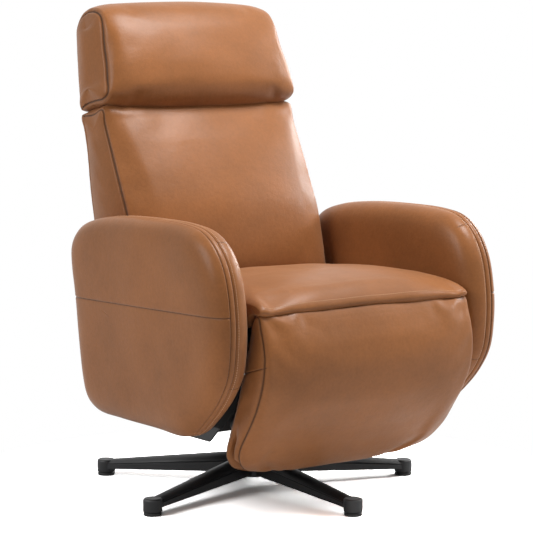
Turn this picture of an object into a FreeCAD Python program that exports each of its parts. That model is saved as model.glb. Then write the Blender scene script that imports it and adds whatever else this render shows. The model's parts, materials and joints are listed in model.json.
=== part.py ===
import FreeCAD, Part
import math
import os
from FreeCAD import Vector

# Star base swivel recliner. Millimetres. +Z up, the chair faces -Y, +X is to the right of the photo.
# Everything is drawn about the swivel axis, and moved back at the end so that the origin is the
# bottom centre of the whole chair.
SWIVEL_BACK = 28.0
SLIDE_GAP = 0.3
RUNNING_GAP = 0.05

# Star base
LEG_COUNT = 5
GLIDE_CIRCLE_R = 350.0
GLIDE_R = 19.0
GLIDE_HEIGHT = 7.0
GLIDE_NECK_R = 15.0
GLIDE_NECK = 2.0
GLIDE_STEM_R = 5.0
GLIDE_STEM = 12.0
CAP_R = 20.0
CAP_TOP_Z = 36.0
LEG_ROOT_R = 40.0
LEG_ROOT_WIDTH = 50.0
LEG_ROOT_BOTTOM_Z = 32.0
LEG_ROOT_TOP_Z = 74.0
LEG_END_WIDTH = 34.0
LEG_END_BOTTOM_Z = 16.0
LEG_END_TOP_Z = 35.0
LEG_GROOVE = 1.6
LEG_WALL = 5.0
HUB_R = 50.0
HUB_BOTTOM_Z = 28.0
HUB_TOP_Z = 84.0
HUB_FLOOR = 8.0
CHANNEL_HUB_GAP = 4.0
CHANNEL_CAP_GAP = 8.0

# Column and swivel
COLUMN_R = 27.5
COLUMN_WALL = 3.0
COLUMN_TOP_Z = 140.0
BUSH_WALL = 4.4
BUSH_FLANGE = 3.0
BUSH_BOTTOM_Z = 62.0
SPINDLE_R = COLUMN_R - COLUMN_WALL - BUSH_WALL - RUNNING_GAP
SPINDLE_FLANGE_R = 46.0
SPINDLE_FLANGE = 7.0
SPINDLE_BOTTOM_Z = 48.0
RING_WALL = 3.5
RING_HEIGHT = 6.0
PLATE_X = 150.0
PLATE_Y = 250.0
PLATE = 6.0

# Half width of the footrest, which the frame and the arms are set out from
FOOT_HALF_WIDTH = 266.0
ARM_GAP = 6.5

# Under-seat frame
TUBE = 30.0
TUBE_WALL = 2.0
LOWER_RAIL_Y = 100.0
SIDE_PLATE_IN = FOOT_HALF_WIDTH - 22.0
SIDE_PLATE = 4.0
SIDE_CLOTH = 1.6
FRONT_RAIL_Y = -310.0
REAR_RAIL_Y = 70.0
SEAT_FRAME_TOP_Z = 402.0
PLATE_BOLT_X = 50.0
BOLT_R = 5.0
BOLT_HOLE_R = 5.3
BOLT_HEAD_R = 8.5
BOLT_HEAD = 6.0
WEBBING = 2.0
WEBBING_WIDTH = 50.0
SEAT_WEB_COUNT = 5
SEAT_WEB_PITCH = 90.0

# Pivots, as Y and Z
FOOT_PIVOT = (-380.0, 425.0)
BACK_PIVOT = (175.0, 385.0)
HEAD_PIVOT = (212.0, 829.0)
FOOT_PIN_R = 4.0
BACK_PIN_R = 6.0
PIN_HEAD = 2.0
PIN_HEAD_LIP = 3.5
HINGE_PLATE = 4.0
WASHER = 2.0

# Seat cushion
SEAT_INSET = 8.0
SEAT_HALF_WIDTH = FOOT_HALF_WIDTH - SEAT_INSET
SEAT_FRONT_Y = -398.0
SEAT_SEAM_Z = 441.0
SEAT_TOP_Z = 486.0
SEAT_REAR_TOP_Z = 470.0
SEAT_REAR_Y = 58.0
SEAT_EDGE_DROP = 26.0
BEAD_R = 20.0
BEAD_GAP = 1.0

# Arms
ARM_HALF = 45.5
ARM_CENTRE_X = FOOT_HALF_WIDTH + ARM_GAP + ARM_HALF
ARM_CORE = 18.0
ARM_CORE_INSET = 26.0
ARM_EDGE_R = 20.0
ARM_FIXINGS = [(-150.0, 300.0), (70.0, 300.0)]
SPACER_R = 14.0
ARM_OUTLINE = [
    (-140.0, 186.0), (-228.0, 184.0), (-262.0, 192.0), (-303.0, 222.0), (-352.0, 270.0),
    (-384.0, 322.0), (-394.0, 385.0), (-392.0, 450.0), (-376.0, 520.0), (-345.0, 568.0),
    (-300.0, 598.0), (-240.0, 609.0), (-130.0, 612.0), (0.0, 608.0), (90.0, 597.0),
    (152.0, 577.0), (182.0, 545.0), (186.0, 505.0), (172.0, 410.0), (138.0, 240.0),
    (122.0, 208.0), (88.0, 190.0), (0.0, 186.0)]

# Footrest
FOOT_LOWER_CORNER_R = 70.0
FOOT_FRONT = [
    (-404.5, 399.0), (-415.0, 374.0), (-418.0, 345.0), (-410.0, 302.0), (-389.0, 249.0),
    (-356.0, 196.0), (-318.0, 146.0), (-286.0, 108.0)]
BEAD_LEAVES_AT = 44.0
FOOT_BOTTOM = (-258.0, 96.0)
BOARD_TOP = (-352.0, 365.0)
BOARD_SLOPE = 19.8
BOARD_LENGTH = 262.0
BOARD = 12.0
LEVER_END = (-268.0, 203.0)
LEVER_END_R = 12.0
LEVER_TOP_R = 10.0
LEVER_IN = SIDE_PLATE_IN - WASHER - HINGE_PLATE
BOARD_HALF_WIDTH = LEVER_IN - 8.0
LEVER_FLANGE_WIDTH = 30.0
LEVER_FLANGE = 3.0
LEVER_FLANGE_FROM = 92.0
LEVER_FLANGE_TO = 178.0
LEVER_SLOT_GAP = 1.5
SCREW_R = 3.0
SCREW_HEAD_R = 6.0
SCREW_HEAD = 2.5
STOP_R = 6.0
STOP_Z = 262.0

# Backrest
FRAME_TILT = 10.0
FRAME_FOOT = (205.0, 430.0)
UPRIGHT_R = 11.0
UPRIGHT_WALL = 2.0
UPRIGHT_X = LEVER_IN - 16.0
SMALL_TUBE = 20.0
HINGE_LOW_R = 16.0
HINGE_HIGH_R = 12.0
BACK_INSET = 14.0
BACK_HALF_WIDTH = FOOT_HALF_WIDTH - BACK_INSET
BACK_LENGTH = 420.0
PANEL_FRONT = 13.0
PANEL = 16.0
SHELL_WALL = 9.0
SHELL_BOTTOM_Z = 421.0
BACK_BOTTOM_Z = 412.0
BACK_FRONT = [
    (62.0, 455.0), (72.0, 520.0), (92.0, 600.0), (124.0, 680.0), (158.0, 755.0), (184.0, 806.0)]
BACK_WEB_COUNT = 6
BACK_WEB_FIRST_Z = 475.0
BACK_WEB_PITCH = 52.0

# Headrest
CREASE_SLOPE = -11.7
LEAF = 3.0
KNUCKLE_R = 4.6
LEAF_LENGTH = 72.0
LEAF_WIDTH = 36.0
LEAF_X = 110.0
HEAD_PIN_R = 2.2
CREASE_HALF = 4.9
HEAD_INSET = 4.0
HEAD_HALF_WIDTH = BACK_HALF_WIDTH - HEAD_INSET
HEAD_PLATE = 10.0
HEAD_PLATE_TILT = 15.5
HEAD_PLATE_HEIGHT = 170.0
HEAD_PLATE_INSET = 58.0
HEAD_PLATE_HALF_WIDTH = HEAD_HALF_WIDTH - HEAD_PLATE_INSET
HEAD_OUTLINE = [
    (200.0, 838.0), (176.0, 856.0), (168.0, 888.0), (178.0, 930.0), (200.0, 975.0), (228.0, 1020.0),
    (258.0, 1043.0), (300.0, 1046.0), (342.0, 1032.0), (364.0, 1005.0), (352.0, 950.0),
    (334.0, 890.0), (316.0, 830.0), (300.0, 816.5)]

# Gas spring of the backrest, as Y and Z of its two ends
SPRING_FRONT = (-100.0, 215.0)
SPRING_REAR = (185.0, 325.0)
SPRING_PIN_R = 5.0
SPRING_EYE_R = 12.0
SPRING_EYE_HALF = 8.0
SPRING_OPEN_EYE_R = 8.5
CYLINDER_R = 14.0
CYLINDER_BORE_R = 11.0
CYLINDER_FROM = 22.0
CYLINDER_TO = 205.0
ROD_R = 5.0
ROD_FROM = 120.0
CLEVIS_GAP = 9.0
CLEVIS_PLATE = 4.0
CLEVIS_R = 11.0


def save(name, shape):
    moved = shape.copy()
    moved.translate(Vector(0, SWIVEL_BACK, 0))
    moved.exportStep(os.path.join("parts", name + ".step"))


def mirrored(shape):
    return shape.mirror(Vector(0, 0, 0), Vector(1, 0, 0))


def both_sides(name, shape):
    save(name + "_right", shape)
    save(name + "_left", mirrored(shape))


def pair(shape):
    return Part.makeCompound([shape, mirrored(shape)])


def box(x0, x1, y0, y1, z0, z1):
    return Part.makeBox(x1 - x0, y1 - y0, z1 - z0, Vector(x0, y0, z0))


def upright_cylinder(radius, z0, z1, x=0.0, y=0.0):
    return Part.makeCylinder(radius, z1 - z0, Vector(x, y, z0))


def cross_cylinder(radius, x0, x1, point):
    return Part.makeCylinder(radius, x1 - x0, Vector(x0, point[0], point[1]), Vector(1, 0, 0))


def hex_prism(radius, z0, z1, x, y):
    points = []
    for k in range(7):
        angle = math.radians(60 * k)
        points.append(Vector(x + radius * math.cos(angle), y + radius * math.sin(angle), z0))
    return Part.Face(Part.makePolygon(points)).extrude(Vector(0, 0, z1 - z0))


def plate_x(points, x0, x1):
    """A flat plate of the outline given in Y and Z, from x0 to x1."""
    corners = [Vector(x0, y, z) for y, z in points]
    return Part.Face(Part.makePolygon(corners + corners[:1])).extrude(Vector(x1 - x0, 0, 0))


def curve(points, x):
    spline = Part.BSplineCurve()
    spline.interpolate([Vector(x, y, z) for y, z in points])
    return spline.toShape()


def curved_slab(curve_points, straight_points, x0, x1):
    """A slab whose outline is one smooth curve, closed by straight lines through further points."""
    path = [curve_points[-1]] + straight_points + [curve_points[0]]
    edges = [curve(curve_points, x0)]
    for (ya, za), (yb, zb) in zip(path, path[1:]):
        edges.append(Part.LineSegment(Vector(x0, ya, za), Vector(x0, yb, zb)).toShape())
    return Part.Face(Part.Wire(edges)).extrude(Vector(x1 - x0, 0, 0))


def inset_points(points, inset):
    """The points of a closed outline moved inwards, square to the chord between their neighbours."""
    moved = []
    count = len(points)
    for k, (y, z) in enumerate(points):
        before = points[k - 1]
        after = points[(k + 1) % count]
        dy = after[0] - before[0]
        dz = after[1] - before[1]
        length = math.hypot(dy, dz)
        moved.append((y + inset * dz / length, z - inset * dy / length))
    return moved


def closed_curve_slab(points, x0, x1):
    """A slab whose outline is one smooth closed curve."""
    spline = Part.BSplineCurve()
    spline.interpolate([Vector(x0, y, z) for y, z in points], PeriodicFlag=True)
    return Part.Face(Part.Wire([spline.toShape()])).extrude(Vector(x1 - x0, 0, 0))


def link_points(p, q, rp, rq):
    """The four tangent points of the band that joins two circles, in Y and Z."""
    dy = q[0] - p[0]
    dz = q[1] - p[1]
    length = math.hypot(dy, dz)
    along = math.atan2(dz, dy)
    spread = math.acos((rp - rq) / length)
    points = []
    for centre, radius, sign in ((p, rp, 1), (q, rq, 1), (q, rq, -1), (p, rp, -1)):
        angle = along + sign * spread
        points.append((centre[0] + radius * math.cos(angle), centre[1] + radius * math.sin(angle)))
    return points


def link_plate(p, q, rp, rq, x0, x1):
    """A flat link with round ends about p and q."""
    band = plate_x(link_points(p, q, rp, rq), x0, x1)
    ends = [cross_cylinder(rp, x0, x1, p), cross_cylinder(rq, x0, x1, q)]
    return band.multiFuse(ends).removeSplitter()


def square_tube_x(size, wall, x0, x1, y, z):
    outer = box(x0, x1, y - size / 2, y + size / 2, z - size / 2, z + size / 2)
    hollow = size / 2 - wall
    inner = box(x0, x1, y - hollow, y + hollow, z - hollow, z + hollow)
    return outer.cut(inner)


def along(origin, degrees, distance, offset=0.0):
    """The point at a distance up a tilted line from origin, and at an offset behind it, in Y and Z."""
    tilt = math.radians(degrees)
    y = origin[0] + distance * math.sin(tilt) + offset * math.cos(tilt)
    z = origin[1] + distance * math.cos(tilt) - offset * math.sin(tilt)
    return (y, z)


def crease(back, up):
    """A point of the headrest crease: so far back from the pivot, and so far above the crease."""
    slope = math.radians(CREASE_SLOPE)
    y = HEAD_PIVOT[0] + back * math.cos(slope) - up * math.sin(slope)
    z = HEAD_PIVOT[1] + back * math.sin(slope) + up * math.cos(slope)
    return (y, z)


def leg_section(r, width, bottom, top, groove):
    """One section of a leg: upright flanks with a groove, and a rounded top."""
    half = width / 2
    shoulder = bottom + 0.62 * (top - bottom)
    low = shoulder - groove
    rows = [(-half, bottom), (half, bottom), (half, low - groove), (half - groove, low)]
    rows.append((half, shoulder))
    points = [Vector(x, -r, z) for x, z in rows]
    left = [Vector(-x, -r, z) for x, z in rows[2:]]
    edges = []
    for a, b in zip(points, points[1:]):
        edges.append(Part.LineSegment(a, b).toShape())
    arc = Part.Arc(points[-1], Vector(0, -r, top), left[-1])
    edges.append(arc.toShape())
    path = left[::-1] + [points[0]]
    for a, b in zip(path, path[1:]):
        edges.append(Part.LineSegment(a, b).toShape())
    return Part.Wire(edges)


def star_leg():
    root = leg_section(LEG_ROOT_R, LEG_ROOT_WIDTH, LEG_ROOT_BOTTOM_Z, LEG_ROOT_TOP_Z, LEG_GROOVE)
    end = leg_section(GLIDE_CIRCLE_R, LEG_END_WIDTH, LEG_END_BOTTOM_Z, LEG_END_TOP_Z, LEG_GROOVE)
    return Part.makeLoft([root, end], True, True)


def leg_channel():
    """The hollow under a leg, open at the bottom, which stops short of the hub and of the cap."""
    stops = [(HUB_R + CHANNEL_HUB_GAP, LEG_ROOT_WIDTH, LEG_ROOT_BOTTOM_Z, LEG_ROOT_TOP_Z)]
    end_r = GLIDE_CIRCLE_R - CAP_R - CHANNEL_CAP_GAP
    stops.append((end_r, LEG_END_WIDTH, LEG_END_BOTTOM_Z, LEG_END_TOP_Z))
    wires = []
    for r, width, bottom, top in stops:
        half = width / 2 - LEG_WALL - LEG_GROOVE
        ceiling = bottom + 0.62 * (top - bottom) - LEG_WALL / 2
        rows = [(-half, bottom - 8.0), (half, bottom - 8.0), (half, ceiling), (-half, ceiling)]
        corners = [Vector(x, -r, z) for x, z in rows]
        wires.append(Part.makePolygon(corners + corners[:1]))
    return Part.makeLoft(wires, True, True)


def leg_cap():
    bottom = GLIDE_HEIGHT + GLIDE_NECK
    cap = upright_cylinder(CAP_R, bottom, CAP_TOP_Z, 0.0, -GLIDE_CIRCLE_R)
    top_edges = [e for e in cap.Edges if e.BoundBox.ZMin > CAP_TOP_Z - 0.1]
    cap = cap.makeFillet(5.0, top_edges)
    hole_top = bottom + GLIDE_STEM
    return cap, upright_cylinder(GLIDE_STEM_R, bottom, hole_top, 0.0, -GLIDE_CIRCLE_R)


def build_base():
    hub = upright_cylinder(HUB_R, HUB_BOTTOM_Z, HUB_TOP_Z)
    top_edges = [e for e in hub.Edges if e.BoundBox.ZMin > HUB_TOP_Z - 0.1]
    hub = hub.makeFillet(4.0, top_edges)
    solids = []
    cuts = [upright_cylinder(COLUMN_R, HUB_BOTTOM_Z + HUB_FLOOR, HUB_TOP_Z)]
    glides = []
    for k in range(LEG_COUNT):
        turn = 360.0 * k / LEG_COUNT
        cap, hole = leg_cap()
        bottom = GLIDE_HEIGHT + GLIDE_NECK
        glide = upright_cylinder(GLIDE_R, 0.0, GLIDE_HEIGHT, 0.0, -GLIDE_CIRCLE_R)
        glide = glide.makeChamfer(1.2, glide.Edges)
        neck = upright_cylinder(GLIDE_NECK_R, GLIDE_HEIGHT, bottom, 0.0, -GLIDE_CIRCLE_R)
        stem = upright_cylinder(GLIDE_STEM_R, bottom, bottom + GLIDE_STEM, 0.0, -GLIDE_CIRCLE_R)
        glide = glide.multiFuse([neck, stem]).removeSplitter()
        pieces = (star_leg(), cap, leg_channel(), hole, glide)
        for piece in pieces:
            piece.rotate(Vector(0, 0, 0), Vector(0, 0, 1), turn)
        solids += pieces[:2]
        cuts += pieces[2:4]
        glides.append(pieces[4])
    star = hub.multiFuse(solids).cut(Part.makeCompound(cuts))
    save("star_base", star)
    save("floor_glides", Part.makeCompound(glides))


def build_column():
    seat_z = HUB_BOTTOM_Z + HUB_FLOOR
    inner = COLUMN_R - COLUMN_WALL
    bore = SPINDLE_R + RUNNING_GAP
    column = upright_cylinder(COLUMN_R, seat_z, COLUMN_TOP_Z)
    column = column.cut(upright_cylinder(inner, seat_z, COLUMN_TOP_Z))
    flange_top = COLUMN_TOP_Z + BUSH_FLANGE
    bush = upright_cylinder(inner, BUSH_BOTTOM_Z, COLUMN_TOP_Z)
    bush = bush.fuse(upright_cylinder(COLUMN_R, COLUMN_TOP_Z, flange_top))
    bush = bush.cut(upright_cylinder(bore, BUSH_BOTTOM_Z, flange_top)).removeSplitter()
    save("base_column", column)
    save("swivel_bush", bush)
    plate_z = flange_top + SPINDLE_FLANGE
    spindle = upright_cylinder(SPINDLE_R, SPINDLE_BOTTOM_Z, plate_z)
    spindle = spindle.fuse(upright_cylinder(SPINDLE_FLANGE_R, flange_top, plate_z)).removeSplitter()
    ring_top = BUSH_BOTTOM_Z - SLIDE_GAP
    ring = upright_cylinder(SPINDLE_R + RING_WALL, ring_top - RING_HEIGHT, ring_top)
    ring = ring.cut(upright_cylinder(SPINDLE_R, ring_top - RING_HEIGHT, ring_top))
    save("swivel_spindle", spindle)
    save("retaining_ring", ring)
    return plate_z


def build_frame(plate_z):
    rail_z = plate_z + PLATE
    rail_top = rail_z + TUBE
    plate = box(-PLATE_X / 2, PLATE_X / 2, -PLATE_Y / 2, PLATE_Y / 2, plate_z, rail_z)
    rails = []
    for y in (-LOWER_RAIL_Y, LOWER_RAIL_Y):
        rails.append(square_tube_x(TUBE, TUBE_WALL, -SIDE_PLATE_IN, SIDE_PLATE_IN, y, rail_z + TUBE / 2))
    bolts = []
    nuts = []
    holes = []
    for x in (-PLATE_BOLT_X, PLATE_BOLT_X):
        for y in (-LOWER_RAIL_Y, LOWER_RAIL_Y):
            head = hex_prism(BOLT_HEAD_R, plate_z - BOLT_HEAD, plate_z, x, y)
            shank = upright_cylinder(BOLT_R, plate_z, rail_top + BOLT_HEAD, x, y)
            bolts.append(head.fuse(shank))
            nuts.append(hex_prism(BOLT_HEAD_R, rail_top, rail_top + BOLT_HEAD, x, y).cut(shank))
            holes.append(upright_cylinder(BOLT_HOLE_R, plate_z, rail_top, x, y))
    holes = Part.makeCompound(holes)
    save("swivel_plate", plate.cut(holes))
    save("lower_rail_front", rails[0].cut(holes))
    save("lower_rail_rear", rails[1].cut(holes))
    save("plate_bolts", Part.makeCompound(bolts))
    save("plate_nuts", Part.makeCompound(nuts))
    build_spring_bracket(rail_top)
    seat_z = SEAT_FRAME_TOP_Z - TUBE / 2
    for name, y in (("front_seat_rail", FRONT_RAIL_Y), ("rear_seat_rail", REAR_RAIL_Y)):
        save(name, square_tube_x(TUBE, TUBE_WALL, -SIDE_PLATE_IN, SIDE_PLATE_IN, y, seat_z))
    front = FRONT_RAIL_Y - TUBE / 2
    rear = REAR_RAIL_Y + TUBE / 2
    straps = []
    for k in range(SEAT_WEB_COUNT):
        x = SEAT_WEB_PITCH * (k - (SEAT_WEB_COUNT - 1) / 2)
        half = WEBBING_WIDTH / 2
        straps.append(box(x - half, x + half, front, rear, SEAT_FRAME_TOP_Z, SEAT_FRAME_TOP_Z + WEBBING))
    save("seat_webbing", Part.makeCompound(straps))
    build_side_plates(rail_z)


def build_spring_bracket(rail_top):
    base = [(SPRING_FRONT[0] - CLEVIS_R, rail_top), (SPRING_FRONT[0] + CLEVIS_R, rail_top)]
    base += [(SPRING_FRONT[0] + CLEVIS_R, SPRING_FRONT[1]), (SPRING_FRONT[0] - CLEVIS_R, SPRING_FRONT[1])]
    ear = plate_x(base, CLEVIS_GAP, CLEVIS_GAP + CLEVIS_PLATE)
    ear = ear.fuse(cross_cylinder(CLEVIS_R, CLEVIS_GAP, CLEVIS_GAP + CLEVIS_PLATE, SPRING_FRONT))
    reach = CLEVIS_GAP + CLEVIS_PLATE + PIN_HEAD
    pin = cross_cylinder(SPRING_PIN_R, -reach, reach, SPRING_FRONT)
    save("spring_bracket", pair(ear.removeSplitter().cut(pin)))
    save("spring_pin_front", pin)


def side_plate_outline(rail_z):
    top = SEAT_FRAME_TOP_Z
    front = FRONT_RAIL_Y - TUBE / 2
    return [
        (front, top), (front - 4.0, top - 36.0), (front + 43.0, top - 162.0), (front + 135.0, rail_z),
        (BACK_PIVOT[0] - 25.0, rail_z), (BACK_PIVOT[0] + 20.0, BACK_PIVOT[1] - 65.0),
        (BACK_PIVOT[0] + 20.0, BACK_PIVOT[1]), (BACK_PIVOT[0] - 25.0, top)]


def build_side_plates(rail_z):
    outer = SIDE_PLATE_IN + SIDE_PLATE
    plate = plate_x(side_plate_outline(rail_z), SIDE_PLATE_IN, outer)
    lug_foot = (FOOT_PIVOT[0] + 64.0, FOOT_PIVOT[1] - 43.0)
    lug = link_plate(FOOT_PIVOT, lug_foot, LEVER_TOP_R, 14.0, SIDE_PLATE_IN, outer)
    rear = cross_cylinder(20.0, SIDE_PLATE_IN, outer, BACK_PIVOT)
    plate = plate.multiFuse([lug, rear]).removeSplitter()
    inboard = LEVER_IN - PIN_HEAD - SLIDE_GAP
    outboard = outer + PIN_HEAD
    washers = []
    places = [("footrest_pins", FOOT_PIVOT, FOOT_PIN_R), ("recline_pins", BACK_PIVOT, BACK_PIN_R)]
    for name, point, radius in places:
        pin = cross_cylinder(radius, inboard, outboard, point)
        head = cross_cylinder(radius + PIN_HEAD_LIP, inboard, inboard + PIN_HEAD, point)
        rivet = cross_cylinder(radius + PIN_HEAD_LIP, outer, outboard, point)
        plate = plate.cut(pin)
        save(name, pair(pin.multiFuse([head, rivet]).removeSplitter()))
        washer = cross_cylinder(radius + PIN_HEAD_LIP + 1.0, LEVER_IN + HINGE_PLATE, SIDE_PLATE_IN, point)
        washers.append(washer.cut(pin))
    save("hinge_washers", Part.makeCompound(washers + [mirrored(w) for w in washers]))
    for point in ARM_FIXINGS:
        plate = plate.cut(cross_cylinder(BOLT_HOLE_R, SIDE_PLATE_IN, outer, point))
    stop_y = lever_rear_y(STOP_Z) + (STOP_R + SLIDE_GAP) / math.cos(lever_lean())
    stop = cross_cylinder(STOP_R, LEVER_IN, SIDE_PLATE_IN, (stop_y, STOP_Z))
    save("footrest_stops", pair(stop))
    both_sides("side_plate", plate)
    front = FOOT_PIVOT[0] + 46.0
    rear = BACK_PIVOT[0]
    high = SEAT_FRAME_TOP_Z - 6.0
    low = rail_z + 34.0
    cloth = [
        (front, high), (front + 10.0, high - 56.0), (front + 50.0, low + 42.0), (front + 98.0, low),
        (rear - 45.0, low), (rear + 1.0, low + 140.0), (rear - 25.0, high)]
    cloth = plate_x(cloth, outer, outer + SIDE_CLOTH)
    for point in ARM_FIXINGS:
        cloth = cloth.cut(cross_cylinder(SPACER_R + SLIDE_GAP, outer, outer + SIDE_CLOTH, point))
    for point in (FOOT_PIVOT, BACK_PIVOT):
        cloth = cloth.cut(cross_cylinder(BACK_PIN_R + PIN_HEAD_LIP + 1.0, outer, outer + SIDE_CLOTH, point))
    both_sides("side_cloth", cloth)


def lever_lean():
    """How far the footrest lever leans from the vertical, in radians."""
    return math.atan2(LEVER_END[0] - FOOT_PIVOT[0], FOOT_PIVOT[1] - LEVER_END[1])


def lever_rear_y(z):
    """Where the rear edge of the tapering lever is at a height."""
    share = (FOOT_PIVOT[1] - z) / (FOOT_PIVOT[1] - LEVER_END[1])
    half = LEVER_TOP_R + share * (LEVER_END_R - LEVER_TOP_R)
    centre = FOOT_PIVOT[0] + share * (LEVER_END[0] - FOOT_PIVOT[0])
    return centre + half / math.cos(lever_lean())


def build_seat_cushion():
    top = [
        (SEAT_FRONT_Y, SEAT_SEAM_Z), (SEAT_FRONT_Y - 1.0, SEAT_SEAM_Z + 14.0),
        (SEAT_FRONT_Y + 22.0, SEAT_TOP_Z - 12.0), (SEAT_FRONT_Y + 88.0, SEAT_TOP_Z),
        (SEAT_FRONT_Y + 218.0, SEAT_TOP_Z - 2.0), (SEAT_FRONT_Y + 348.0, SEAT_TOP_Z - 9.0),
        (SEAT_REAR_Y, SEAT_REAR_TOP_Z)]
    bottom_z = SEAT_FRAME_TOP_Z + WEBBING
    lip_z = SEAT_SEAM_Z - 5.0
    rest = [
        (SEAT_REAR_Y, bottom_z), (FRONT_RAIL_Y - 6.0, bottom_z), (SEAT_FRONT_Y + 48.0, lip_z),
        (SEAT_FRONT_Y + 4.0, lip_z)]
    slab = curved_slab(top, rest, -SEAT_HALF_WIDTH, SEAT_HALF_WIDTH)
    start_y = SEAT_FRONT_Y - 60.0
    edge_z = SEAT_TOP_Z - SEAT_EDGE_DROP
    left = Vector(-SEAT_HALF_WIDTH, start_y, edge_z)
    right = Vector(SEAT_HALF_WIDTH, start_y, edge_z)
    crown = Part.Arc(left, Vector(0, start_y, SEAT_TOP_Z + 1.0), right)
    low = Vector(0, 0, -150.0)
    corners = [right, right + low, left + low, left]
    edges = [crown.toShape()]
    for a, b in zip(corners, corners[1:]):
        edges.append(Part.LineSegment(a, b).toShape())
    envelope = Part.Face(Part.Wire(edges)).extrude(Vector(0, SEAT_REAR_Y - start_y + 20.0, 0))
    bead = cross_cylinder(BEAD_R + BEAD_GAP, -FOOT_HALF_WIDTH, FOOT_HALF_WIDTH, FOOT_PIVOT)
    save("seat_cushion", slab.common(envelope).cut(bead))


def build_arms():
    inner_x = ARM_CENTRE_X - ARM_HALF
    outer_x = ARM_CENTRE_X + ARM_HALF
    core_in = ARM_CENTRE_X - ARM_CORE / 2
    core_out = ARM_CENTRE_X + ARM_CORE / 2
    inner = closed_curve_slab(ARM_OUTLINE, inner_x, ARM_CENTRE_X)
    outer = closed_curve_slab(ARM_OUTLINE, ARM_CENTRE_X, outer_x)
    inner = inner.makeFillet(ARM_EDGE_R, [e for e in inner.Edges if e.BoundBox.XMax < inner_x + 0.1])
    outer = outer.makeFillet(ARM_EDGE_R, [e for e in outer.Edges if e.BoundBox.XMin > outer_x - 0.1])
    core = closed_curve_slab(inset_points(ARM_OUTLINE, ARM_CORE_INSET), core_in, core_out)
    inner = inner.cut(core)
    outer = outer.cut(core)
    plate_out = SIDE_PLATE_IN + SIDE_PLATE
    spacers = []
    bolts = []
    inserts = []
    for point in ARM_FIXINGS:
        bolt = cross_cylinder(BOLT_R, SIDE_PLATE_IN, core_out, point)
        head = cross_cylinder(BOLT_HEAD_R, SIDE_PLATE_IN - BOLT_HEAD, SIDE_PLATE_IN, point)
        spacer = cross_cylinder(SPACER_R, plate_out, core_in, point)
        insert = cross_cylinder(BOLT_R + 3.0, core_in, core_out, point)
        inner = inner.cut(spacer)
        core = core.cut(insert)
        spacers.append(spacer.cut(cross_cylinder(BOLT_HOLE_R, plate_out, core_in, point)))
        bolts.append(bolt.fuse(head))
        inserts.append(insert.cut(bolt))
    for name, solids in (("arm_spacers", spacers), ("arm_bolts", bolts), ("arm_inserts", inserts)):
        save(name, Part.makeCompound(solids + [mirrored(s) for s in solids]))
    both_sides("arm_core", core)
    both_sides("arm_inner_pad", inner)
    both_sides("arm_outer_pad", outer)


def board_point(down, behind):
    """A point of the footrest board: so far down its front face, and so far behind it."""
    lean = math.radians(BOARD_SLOPE)
    y = BOARD_TOP[0] + down * math.sin(lean) + behind * math.cos(lean)
    z = BOARD_TOP[1] - down * math.cos(lean) + behind * math.sin(lean)
    return (y, z)


def board_screw(x, down, radius, behind_from, behind_to):
    y, z = board_point(down, behind_from)
    lean = math.radians(BOARD_SLOPE)
    direction = Vector(0, math.cos(lean), math.sin(lean))
    return Part.makeCylinder(radius, behind_to - behind_from, Vector(x, y, z), direction)


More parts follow.
